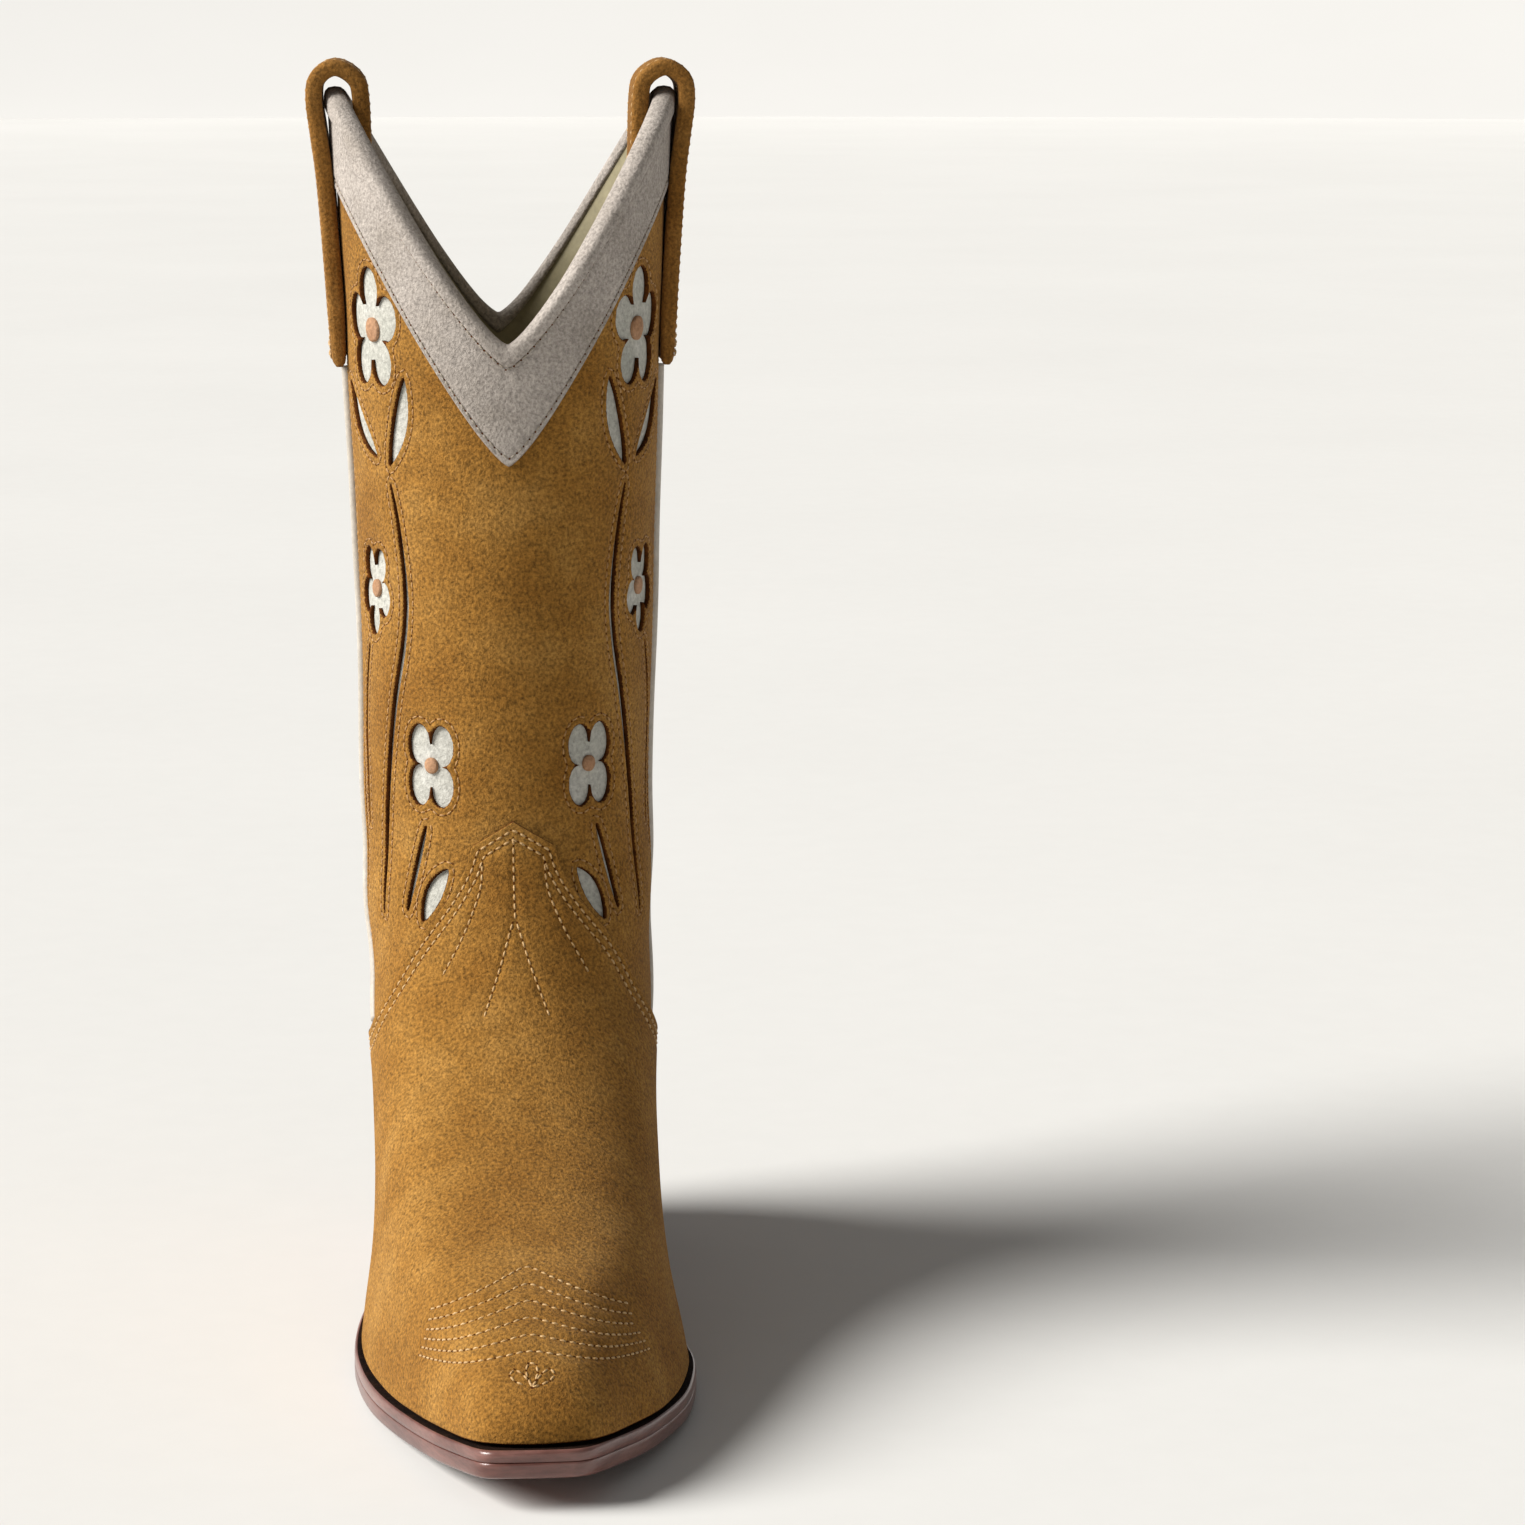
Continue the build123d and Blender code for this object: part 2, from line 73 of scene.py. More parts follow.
TREAD_LINE = [(-12, 31.4), (0, 31.2), (40, 30.0), (80, 28.0), (100, 22.5), (125, 13.5), (150, 5.0),
              (170, 0.7), (186, 0.0), (205, 0.7), (230, 2.0), (260, 5.0), (288, 9.2), (300, 11.2)]
OUTER_SIDE = [(288, 12.6), (284, 15.6), (271, 21.5), (253, 29.0), (226, 38.5), (207, 44.0), (186, 47.5),
              (169, 48.8), (153, 47.3), (141, 43.3), (129, 37.3), (116, 33.2), (104, 31.4), (90, 31.2),
              (68, 32.6), (45, 33.0)]
INNER_SIDE = [(288, 13.0), (284, 16.8), (271, 24.0), (253, 33.6), (226, 43.8), (207, 47.8), (186, 49.5),
              (169, 47.0), (153, 41.3), (141, 34.6), (129, 28.6), (116, 24.8), (104, 24.6), (90, 27.6),
              (68, 32.0), (45, 33.0)]
HEEL_HALF_WIDTH = 33.0
FEATHER_SHAPE = [(0, 0, 0), (7, 7.5, 8), (14, 13, 14.8), (22, 16.8, 19.6), (32, 21.2, 25.4), (45, 29, 35.3),
                 (60, 38.3, 43), (73, 43.7, 45.4), (83, 44.4, 40.4), (92, 39.6, 30.5), (102, 31.5, 24),
                 (113, 29.6, 27.3), (127, 31.4, 31.6), (143, 30.2, 30.2), (158, 24.6, 24.6),
                 (170, 12.5, 12.5), (180, 0, 0)]
# Rings of the base surface: ridge forward, ridge height, back forward, back height, half width, share of the
# feather line's shape.
RINGS = [(283, 17.0, 3.0, 39.4, 38.0, 1.00), (281, 24.5, 0.8, 48.0, 38.0, 0.80),
         (270, 33.0, 0.2, 59.0, 38.5, 0.45), (246, 42.5, 1.6, 73.0, 39.5, 0.18),
         (216, 52.0, 5.2, 88.0, 40.5, 0.05), (187, 65.0, 9.2, 102.0, 41.6, 0.0),
         (162, 81.0, 11.6, 116.0, 42.4, 0.0), (144, 98.0, 11.8, 131.0, 43.0, 0.0),
         (132, 117.0, 10.3, 148.0, 43.4, 0.0), (124, 140.0, 7.6, 168.0, 43.8, 0.0),
         (120.3, 168.0, 4.6, 193.0, 44.3, 0.0), (118.7, 205.0, 1.6, 223.0, 45.0, 0.0),
         (118, 245.0, -1.5, 256.0, 46.2, 0.0), (117.4, 285.0, -4.2, 291.0, 47.8, 0.0),
         (116.8, 325.0, -6.4, 328.0, 49.4, 0.0), (116.3, 372.0, -8.0, 372.0, 51.0, 0.0)]
SAG_SHARE = [1.0, 0.85, 0.55, 0.25, 0.08] + [0.0] * (len(RINGS) - 5)
RING_TABLE = np.array([(i / (len(RINGS) - 1), *ring, SAG_SHARE[i]) for i, ring in enumerate(RINGS)])
FEATHER_RISE = WELT_TOP + 0.15
SEAM_SWING, SWING_END = 8.0, 0.8

TONGUE_SHOULDER = 14.0  # degrees from the middle to the tongue's corners
TONGUE_TIP, TONGUE_CORNER = 154.0, 146.5
VAMP_LINE = [(14, 146.5), (16.5, 139.5), (24, 129.0), (36, 117.0), (52, 101.0), (72, 88.0), (90, 84.0),
             (100, 83.5)]
COUNTER_LINE = [(92, 83.5), (110, 86.0), (130, 91.0), (150, 97.0), (165, 100.0), (180, 101.0)]
HEM_DEPTH = 11.0
SEAM_FOOT_ANGLE, SEAM_TOP_ANGLE = 120.0, 94.5
LOWER_SEAM_GAP = 1.25
STRAP_LINE = [(50.0, 284), (51.0, 306), (53.2, 338), (54.9, 353), (56.0, 364), (54.8, 370.2), (49.5, 373.4),
              (43.7, 370.2), (42.0, 364), (41.4, 345), (40.4, 320)]
PEGS = [(129, -25), (117, -21.5), (105, -20), (94.5, -19.5), (85, -20.5),
        (142, 20.3), (129, 18.8), (117.5, 17.3), (104.5, 16.5), (92, 17.6)]
PEG_RADIUS = 1.5
WELT_START = 75.9  # forward distance where the welt ends and the heel rand begins
CHANNEL_INSET = (4.6, 6.0)
CHANNEL_END = 135.0

# Stitches
STITCH_LENGTH, STITCH_PITCH, STITCH_RADIUS = 2.0, 2.75, 0.34
STITCH_RINGS = [(-0.5, 0), (-0.4, 0.8), (0, 1), (0.4, 0.8), (0.5, 0)]  # place along it, share of its radius
GROOVE_DEPTH, GROOVE_WIDTH = 0.42, 0.8
STITCH_SINK = 0.2  # how far a thread's middle lies below the surface beside it
CUT_EDGE_SHADE_BAND = 0.5  # width of the band on the outer side at a cut edge that takes the edge's material: partly its raw colour, partly painted shade of the crease along the edge


# ---------- curves
TINY = 1e-9  # keeps a division by a length off zero


def unit(vectors):
    """The same vectors, one unit long."""
    return vectors / (np.linalg.norm(vectors, axis=-1, keepdims=True) + TINY)


def heading(path):
    """Unit direction of a path at each of its points."""
    return unit(np.gradient(path, axis=0))


def run_along(path):
    """Distance along a path at each of its points."""
    return np.concatenate([[0], np.cumsum(np.linalg.norm(np.diff(path, axis=0), axis=1))])


def looped(outline):
    """A closed outline with its first point again at its end."""
    return np.vstack([outline, outline[:1]])


def follow(table, at, column=1):
    """Values of one column of a table on a smooth curve through its rows."""
    rows = np.asarray(table, float)
    x, y = rows[:, 0], rows[:, column]
    if x[0] > x[-1]:
        x, y = x[::-1], y[::-1]
    slope = np.empty_like(y)
    slope[1:-1] = (y[2:] - y[:-2]) / (x[2:] - x[:-2])
    slope[0] = (y[1] - y[0]) / (x[1] - x[0])
    slope[-1] = (y[-1] - y[-2]) / (x[-1] - x[-2])
    at = np.clip(at, x[0], x[-1])
    i = np.clip(np.searchsorted(x, at, side="right") - 1, 0, len(x) - 2)
    step = x[i + 1] - x[i]
    t = (at - x[i]) / step
    return (
        y[i] * (1 + 2 * t) * (1 - t) ** 2
        + slope[i] * step * t * (1 - t) ** 2
        + y[i + 1] * t * t * (3 - 2 * t)
        - slope[i + 1] * step * t * t * (1 - t)
    )


def resample(path, step):
    """The same path with evenly spaced points."""
    path = np.asarray(path, float)
    run = run_along(path)
    at = np.linspace(0, run[-1], max(2, int(round(run[-1] / step))) + 1)
    return np.column_stack([np.interp(at, run, path[:, k]) for k in range(path.shape[1])])


def curve(points, step=0.7):
    """Evenly spaced points on a smooth curve through a few points."""
    points = np.asarray(points, float)
    order = np.arange(len(points))
    fine = np.linspace(0, len(points) - 1, (len(points) - 1) * 24 + 1)
    columns = [follow(np.column_stack([order, points[:, k]]), fine) for k in range(points.shape[1])]
    return resample(np.column_stack(columns), step)


def smoothstep(low, high, value):
    t = np.clip((value - low) / (high - low), 0, 1)
    return t * t * (3 - 2 * t)


def tread(forward):
    return follow(TREAD_LINE, forward)


def to_y(forward):
    return MIDDLE_FORWARD - forward


# ---------- the base surface
def base_point(angle, share):
    """Points of the base surface: angle round from the front in degrees, share of the way up its rings."""
    angle, share = np.broadcast_arrays(np.asarray(angle, float), np.asarray(share, float))
    angle = np.where(angle > 180, angle - 360, angle)
    columns = [follow(RING_TABLE, share, k) for k in range(1, 8)]
    ridge_forward, ridge_height, back_forward, back_height, half_width, foot, sag = columns
    swing = SEAM_SWING * np.sin(np.pi * np.minimum(share / SWING_END, 1)) * np.sin(np.radians(abs(angle)))
    around = abs(angle) + swing
    turn = np.radians(around)
    along = (1 - np.cos(turn)) / 2
    forward = ridge_forward + (back_forward - ridge_forward) * along
    height = ridge_height + (back_height - ridge_height) * along
    first = RINGS[0]
    feather_forward = first[0] + (first[2] - first[0]) * along
    straight = first[1] + (first[3] - first[1]) * along
    height = height + sag * (tread(feather_forward) + FEATHER_RISE - straight)
    outline = np.where(angle < 0, follow(FEATHER_SHAPE, around, 1), follow(FEATHER_SHAPE, around, 2))
    wide = (1 - foot) * half_width * np.sin(turn) + foot * outline
    return np.stack([np.copysign(wide, angle), to_y(forward), height], -1)


def share_at(angle, height):
    """How far up the rings the base surface reaches a height."""
    angle, height = np.broadcast_arrays(np.asarray(angle, float), np.asarray(height, float))
    low, high = np.zeros(height.shape), np.ones(height.shape)
    for _ in range(24):
        middle = (low + high) / 2
        below = base_point(angle, middle)[..., 2] < height
        low, high = np.where(below, middle, low), np.where(below, high, middle)
    return low


def relief(points):
    """Soft folds of the worn-in leather, in millimetres outward."""
    x, y, z = points[..., 0], points[..., 1], points[..., 2]
    ankle = np.exp(-(((z - 112) / 34) ** 2))
    side = 0.35 + 0.65 * np.clip(abs(x) / 42, 0, 1)
    folds = 0.55 * ankle * side * np.sin(z / 6.4 + 1.4 * np.sin(y / 26 + x / 40))
    waves = 0.5 * np.sin(z / 29 + y / 33 + 0.8) * np.sin(x / 24 - z / 61)
    dents = 0.25 * np.sin(x / 11 + z / 17) * np.sin(y / 13 - z / 23)
    calm = smoothstep(45, 85, z) * (1 - smoothstep(292, 326, z))
    return (folds + waves + dents) * calm


def layer_point(angle, share, distance):
    """Points at a distance outside the folded base surface."""
    share = np.asarray(share, float)
    low, high = np.maximum(share - 0.002, 0), np.minimum(share + 0.002, 1)
    along = base_point(angle + 0.5, share) - base_point(angle - 0.5, share)
    up = base_point(angle, high) - base_point(angle, low)
    normal = unit(np.cross(along, up))
    base = base_point(angle, share)
    return base + normal * (np.asarray(distance) + relief(base))[..., None]


def scallop(angle):
    return abs(np.sin(np.radians(angle))) ** SCALLOP_POWER


def top_line(angle):
    return NOTCH_HEIGHT + (EAR_HEIGHT - NOTCH_HEIGHT) * scallop(angle)


def collar_line(angle):
    return COLLAR_POINT_HEIGHT + (EAR_HEIGHT - COLLAR_SIDE_DROP - COLLAR_POINT_HEIGHT) * scallop(angle)


def vamp_line(angle):
    """Top edge of the vamp, with the tongue's three straight-cut corners."""
    a = abs(angle)
    slope = (TONGUE_TIP - TONGUE_CORNER) / TONGUE_SHOULDER
    return np.where(a < TONGUE_SHOULDER, TONGUE_TIP - slope * a, follow(VAMP_LINE, a))


def counter_line(angle):
    return follow(COUNTER_LINE, np.minimum(abs(angle), 360 - abs(angle)))


def lower_seam(part):
    return SEAM_FOOT_ANGLE + (SEAM_TOP_ANGLE - SEAM_FOOT_ANGLE) * part ** 0.7


# ---------- materials
TONE = 0.89  # sets the colours below against this studio's strong key light


def put(node, **values):
    """Sets a node's inputs by name, with _ for a space."""
    for key, value in values.items():
        node.inputs[key.replace("_", " ")].default_value = value


def surface(name, colours, patch_scale, grain_scale, grain_contrast, bump, roughness, stretch=(1, 1, 1),
            sheen=0.0, coat=0.0, metallic=0.0, specular=0.5, wave=None):
    """A node material: colours in patches, darkened and raised by a fine grain, with optional ribs."""
    material = bpy.data.materials.new(name)
    material.use_nodes = True
    tree = material.node_tree
    link = tree.links.new
    shader = tree.nodes["Principled BSDF"]
    place = tree.nodes.new("ShaderNodeTexCoord")
    mapping = tree.nodes.new("ShaderNodeMapping")
    put(mapping, Scale=stretch)
    link(place.outputs["Object"], mapping.inputs["Vector"])

    def noise(scale, detail, rough):
        node = tree.nodes.new("ShaderNodeTexNoise")
        put(node, Scale=scale, Detail=detail, Roughness=rough)
        link(mapping.outputs["Vector"], node.inputs["Vector"])
        return node

    patches = noise(patch_scale, 4, 0.6)
    ramp = tree.nodes.new("ShaderNodeValToRGB")
    stops = ramp.color_ramp.elements
    while len(stops) < len(colours):
        stops.new(0.5)
    for i, colour in enumerate(colours):
        stops[i].position = 0.32 + 0.36 * i / max(len(colours) - 1, 1)
        stops[i].color = (*[(TONE * c / 255) ** 2.2 for c in colour], 1)
    link(patches.outputs["Fac"], ramp.inputs["Fac"])

    grain = noise(grain_scale, 3, 0.65)
    shade = tree.nodes.new("ShaderNodeMapRange")
    put(shade, From_Min=0.3, From_Max=0.7, To_Min=1 - grain_contrast, To_Max=1 + grain_contrast * 0.6)
    link(grain.outputs["Fac"], shade.inputs["Value"])
    tint = tree.nodes.new("ShaderNodeVectorMath")
    tint.operation = "SCALE"
    link(ramp.outputs["Color"], tint.inputs[0])
    link(shade.outputs["Result"], tint.inputs["Scale"])
    link(tint.outputs["Vector"], shader.inputs["Base Color"])

    raised = tree.nodes.new("ShaderNodeBump")
    put(raised, Strength=1.0, Distance=bump * MM)
    link(grain.outputs["Fac"], raised.inputs["Height"])
    if wave:
        direction, pitch, depth = wave
        ribs = tree.nodes.new("ShaderNodeTexWave")
        ribs.bands_direction = direction
        put(ribs, Scale=math.pi / (10 * pitch * MM), Distortion=0.6, Detail_Scale=2.0)
        link(place.outputs["Object"], ribs.inputs["Vector"])
        second = tree.nodes.new("ShaderNodeBump")
        put(second, Distance=depth * MM)
        link(ribs.outputs["Fac"], second.inputs["Height"])
        link(raised.outputs["Normal"], second.inputs["Normal"])
        raised = second
    link(raised.outputs["Normal"], shader.inputs["Normal"])
    put(shader, Roughness=roughness, Metallic=metallic, Specular_IOR_Level=specular)
    if sheen:
        put(shader, Sheen_Weight=sheen, Sheen_Roughness=0.45)
    if coat:
        put(shader, Coat_Weight=coat, Coat_Roughness=0.22)
    return material


SUEDE = surface("tan_suede", [(152, 106, 48), (166, 119, 57), (180, 133, 69)], 38, 1050, 0.62, 0.55, 0.95,
                sheen=0.05, specular=0.1)
STRAP_SUEDE = surface("strap_suede", [(138, 95, 44), (151, 106, 52), (164, 118, 62)], 45, 1050, 0.5, 0.5, 0.9,
                      sheen=0.05, specular=0.12)
# dark brown: the raw colour of cut suede edges, and also painted shade of the crease at each edge and of each
# needle hole
RAW_CUT_EDGE_AND_SHADE = surface("raw_cut_edge_and_painted_shade", [(74, 40, 16), (112, 66, 28)], 150, 900, 0.5, 0.4, 0.95, specular=0.1)
PALE = surface("pale_suede", [(176, 166, 156), (188, 178, 169), (200, 190, 181)], 45, 1050, 0.42, 0.5, 0.95,
               sheen=0.05, specular=0.1)
# darker pale: the raw colour of the collar's cut edges, and also painted shade of the crease along each edge
PALE_CUT_EDGE_AND_SHADE = surface("pale_cut_edge_and_painted_shade", [(150, 136, 124), (186, 172, 158)], 150, 900, 0.35, 0.35, 0.95, specular=0.1)
INLAY = surface("inlay_suede", [(184, 184, 174), (200, 198, 188), (210, 208, 200)], 50, 750, 0.3, 0.5, 0.95,
                specular=0.12)
DISC = surface("flower_disc", [(176, 132, 98), (194, 152, 120)], 90, 900, 0.3, 0.35, 0.9, specular=0.15)
LINING_LEATHER = surface("lining_leather", [(150, 140, 108), (170, 160, 128), (184, 175, 146)], 16, 420, 0.14,
                         0.12, 0.55, specular=0.4)
CLOTH = surface("lining_cloth", [(188, 176, 150), (206, 196, 172)], 40, 1400, 0.3, 0.25, 0.95, specular=0.1)
PIPING = surface("white_piping", [(196, 187, 173), (212, 204, 192)], 60, 500, 0.14, 0.15, 0.5, specular=0.4)
SOLE = surface("sole_leather", [(88, 38, 24), (118, 56, 34), (142, 76, 48)], 13, 520, 0.2, 0.06, 0.34,
               coat=0.25, specular=0.5)
SOLE_EDGE = surface("sole_edge", [(84, 46, 40), (116, 76, 68), (138, 98, 90)], 22, 260, 0.25, 0.08, 0.3,
                    stretch=(1, 1, 5), coat=0.35)
# near black: painted shade of the crease where the upper's edge meets the welt's top
WELT_CREASE_SHADE = surface("welt_crease_painted_shade", [(24, 15, 10), (48, 30, 20)], 160, 900, 0.6, 0.7, 0.95, specular=0.1)
STACK = surface("stacked_leather", [(86, 48, 40), (116, 72, 62), (142, 98, 86)], 20, 60, 0.34, 0.12, 0.36,
                stretch=(1, 1, 38), coat=0.25, wave=("Z", 1.87, 0.05))
BREAST = surface("breast_leather", [(104, 40, 24), (134, 60, 38)], 40, 420, 0.2, 0.08, 0.35, coat=0.25)
RUBBER = surface("heel_rubber", [(20, 28, 34), (34, 46, 54)], 60, 800, 0.3, 0.06, 0.6,
                 wave=("Y", 1.0, 0.35))
THREAD = surface("gold_thread", [(196, 150, 88), (226, 186, 128)], 300, 2600, 0.4, 0.1, 0.55, sheen=0.2)
SHAFT_THREAD = surface("tan_thread", [(172, 124, 68), (204, 156, 98)], 300, 2600, 0.4, 0.1, 0.6)
PALE_THREAD = surface("pale_thread", [(150, 138, 122), (178, 166, 150)], 300, 2600, 0.3, 0.1, 0.6)
DARK_THREAD = surface("dark_thread", [(16, 11, 8), (40, 26, 18)], 400, 2600, 0.5, 0.15, 0.8)
BRASS = surface("brass_pin", [(150, 104, 48), (196, 146, 76)], 300, 900, 0.3, 0.08, 0.35, metallic=0.9)
STEEL = surface("nail_steel", [(120, 116, 110), (150, 146, 140)], 200, 900, 0.2, 0.05, 0.35, metallic=0.9)
BOARD = surface("board", [(120, 92, 64), (150, 118, 84)], 60, 700, 0.3, 0.15, 0.9)
CORK = surface("cork", [(110, 74, 44), (160, 116, 76)], 260, 700, 0.4, 0.3, 0.9)
SOCK = surface("sock_leather", [(160, 134, 96), (186, 160, 120)], 20, 460, 0.15, 0.1, 0.6)


# ---------- meshes
def mesh_piece(name, points, faces, materials, slots=None, smooth=True):
    """An object from points in millimetres."""
    mesh = bpy.data.meshes.new(name)
    mesh.from_pydata((np.asarray(points) * MM).tolist(), [], [list(map(int, face)) for face in faces])
    for material in materials:
        mesh.materials.append(material)
    if slots is not None:
        mesh.polygons.foreach_set("material_index", np.asarray(slots, np.int32))
    mesh.polygons.foreach_set("use_smooth", [smooth] * len(mesh.polygons))
    mesh.validate()
    mesh.update()
    piece = bpy.data.objects.new(name, mesh)
    bpy.context.scene.collection.objects.link(piece)
    return piece


def grid_faces(rows, columns, wrap=False):
    """Quads of a grid of points, row by row, optionally closed round each row."""
    i, j = np.meshgrid(np.arange(rows - 1), np.arange(columns if wrap else columns - 1), indexing="ij")
    k = (j + 1) % columns
    quads = np.stack([i * columns + j, i * columns + k, (i + 1) * columns + k, (i + 1) * columns + j], -1)
    return quads.reshape(-1, 4)


def capped_faces(rows, columns):
    """Faces of a tube of rings, with both its ends closed."""
    last = (rows - 1) * columns
    caps = [range(columns)[::-1], range(last, last + columns)]
    return [list(face) for face in [*grid_faces(rows, columns, wrap=True), *caps]]


def flipped(faces):
    return [list(face)[::-1] for face in faces]


def thick_piece(name, top, bottom, faces, materials, edge):
    """A sheet with an outer side, an inner side and a cut edge, whose material also covers a narrow band of
    the outer side: partly the raw edge colour, partly painted shade of the crease along it.
    Materials: the outer side's, then the one of the rest. Edge is each outer point's distance from the cut."""
    count = len(top)
    # outer faces near the cut take the edge material: painted shade of the crease along the edge, partly its
    # raw colour
    band = np.asarray(edge)[np.asarray(faces)].max(1) < CUT_EDGE_SHADE_BAND
    directed = set()
    for face in faces:
        face = list(map(int, face))
        directed.update(zip(face, face[1:] + face[:1]))
    rim = [(b, a, a + count, b + count) for a, b in directed if (b, a) not in directed]
    inner = [[int(v) + count for v in reversed(face)] for face in faces]
    rest = len(materials) - 1
    slots = list(rest * band) + [rest] * (len(rim) + len(inner))
    return mesh_piece(name, np.vstack([top, bottom]), [*faces, *rim, *inner], materials, slots)


def steps(count, length, fine=(0.15, 0.45, 0.9)):
    """Places from 0 to 1, closer together at both ends of a length in millimetres."""
    inside = np.linspace(0, 1, count + 1)
    ends = np.array(fine) / length
    near = ends[-1] * 1.6
    kept = inside[(inside > near) & (inside < 1 - near)]
    return np.concatenate([[0], ends, kept, 1 - ends[::-1], [1]])


def rolled(distance, radius=0.9, drop=0.55):
    """How far a cut edge turns down, by the distance from it."""
    t = np.clip(1 - distance / radius, 0, 1)
    return drop * (1 - np.sqrt(1 - t * t * 0.96))


def nearest(points, samples):
    """Distance from each point to the nearest sample."""
    tree = KDTree(len(samples))
    for i, sample in enumerate(samples):
        tree.insert(sample, i)
    tree.balance()
    return np.array([tree.find(point)[2] for point in points])


def groove(points, lines):
    """Depth of the valley that stitch lines pull into a surface."""
    if not lines:
        return 0.0
    distance = nearest(points, np.vstack(lines))
    return GROOVE_DEPTH * np.exp(-((distance / GROOVE_WIDTH) ** 2))


def edge_distance(base, axis):
    """How far each point of a grid is from its two ends, measured along one axis."""
    gaps = np.linalg.norm(np.diff(base, axis=axis), axis=-1)
    run = np.insert(np.cumsum(gaps, axis=axis), 0, 0.0, axis=axis)
    whole = np.take(run, [-1], axis=axis)
    return np.minimum(run, whole - run)


def sheet(name, sides, ends, size, counts, layer, materials, lines=(), roll=True):
    """A patch of the upper between two side angles and two shares of the height, given as functions."""
    u = steps(counts[0], size[0])
    v = steps(counts[1], size[1])
    first, last = sides[0](v)[:, None], sides[1](v)[:, None]
    angle = first + (last - first) * u[None, :]
    low, high = ends[0](angle), ends[1](angle)
    share = low + (high - low) * v[:, None]
    base = base_point(angle, share)
    edge = np.minimum(edge_distance(base, 0), edge_distance(base, 1))
    outer = np.full(angle.shape, layer[1])
    if roll:
        outer = outer - rolled(edge)
    if lines:
        outer = outer - groove(base.reshape(-1, 3), lines).reshape(angle.shape)
    top = layer_point(angle, share, outer).reshape(-1, 3)
    bottom = layer_point(angle, share, np.full(angle.shape, layer[0])).reshape(-1, 3)
    return thick_piece(name, top, bottom, grid_faces(len(v), len(u)), materials, edge.ravel())


def stitch_places(path, normals, length, pitch):
    """Start, end and outward normal of each stitch in a row."""
    run = run_along(path)
    count = int((run[-1] - length) / pitch) + 1
    for at in np.arange(max(count, 0)) * pitch:
        wanted = ((at, path), (at + length, path), (at + length / 2, normals))
        yield [np.array([np.interp(place, run, table[:, c]) for c in range(3)]) for place, table in wanted]


def stitch_faces(first, sides):
    """Faces of one thread: a point, three rings and a point."""
    last = first + 1 + 3 * sides
    faces = []
    for s in range(sides):
        n = (s + 1) % sides
        faces.append((first, first + 1 + n, first + 1 + s))
        for row in range(2):
            a = first + 1 + row * sides
            faces.append((a + s, a + n, a + sides + n, a + sides + s))
        faces.append((last, first + 1 + 2 * sides + s, first + 1 + 2 * sides + n))
    return faces


def stitches(name, rows, material, length=STITCH_LENGTH, pitch=STITCH_PITCH, radius=STITCH_RADIUS):
    """Rows of single stitches, each with a dark patch before it, painted shade of its needle hole. Rows are
    (points, outward normals).
    """
    sides = 6
    points, faces, slots = [], [], []
    turns = np.radians(np.arange(sides) * 360 / sides)
    for start, stop, normal in (stitch for row in rows for stitch in stitch_places(*row, length, pitch)):
        ahead = stop - start
        side = unit(np.cross(normal, ahead))
        up = unit(np.cross(ahead, side))
        first = len(points)
        # a flat dark patch where the needle hole is: painted shade of the hole
        hole = start - ahead / length * (pitch - length) / 2 - normal * 0.02
        long, wide = ahead / length * 0.36, side * 0.3
        points += [hole + long * math.cos(turn) + wide * math.sin(turn) for turn in turns]
        faces.append(tuple(range(first + sides - 1, first - 1, -1)))
        slots.append(1)
        first = len(points)
        for x, size in STITCH_RINGS:
            middle = (start + stop) / 2 + ahead * x - up * (0.9 * radius * (2 * x) ** 2)
            ring = [middle + radius * size * (side * math.cos(turn) + up * math.sin(turn)) for turn in turns]
            points += ring if size else [middle]
        faces += stitch_faces(first, sides)
        slots += [0] * (len(faces) - len(slots))
    return mesh_piece(name, points, faces, [material, RAW_CUT_EDGE_AND_SHADE], slots)


def surface_row(path, distance, by_height=True):
    """A stitch row on the upper, from a path of angles and heights (or shares)."""
    angle, other = path[:, 0], path[:, 1]
    share = share_at(angle, other) if by_height else other
    points = layer_point(angle, share, distance)
    return points, layer_point(angle, share, distance + 1.0) - points


def base_samples(paths, by_height=True):
    """Points of the base surface along stitch paths, for their grooves."""
    found = []
    for path in paths:
        share = share_at(path[:, 0], path[:, 1]) if by_height else path[:, 1]
        found.append(base_point(path[:, 0], share))
    return found


def crossing(piece, node=None):
    """A soft piece across the ankle: its transform is baked into its mesh and the CAD node it replaces is
    hidden.
    """
    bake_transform(piece)
    dress(node)


def riding(piece, body, node=None):
    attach(piece, body)
    dress(node)


def dress(node):
    if node:
        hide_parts(*([node] if isinstance(node, str) else node))


# ---------- cut-out flowers, leaves and vines
def flower(centre, width, height, petals, depth, turn):
    t = np.linspace(0, 2 * np.pi, 120, endpoint=False)
    reach = (1 - depth) + depth * abs(np.cos(petals * (t - math.radians(turn)) / 2)) ** 0.55
    across = width / 2 * DEGREES_PER_MM * reach * np.sin(t)
    return np.column_stack([centre[0] + across, centre[1] + height / 2 * reach * np.cos(t)])


def leaf(start, end, width, bend=0.0):
    """A pointed leaf, bent to one side."""
    return ribbon(curve([start, middle_of(start, end, bend), end], 0.8), width, 0.75)


def middle_of(start, end, bend):
    start, end = np.array(start, float), np.array(end, float)
    along = end - start
    return (start + end) / 2 + np.array([-along[1], along[0]]) * bend


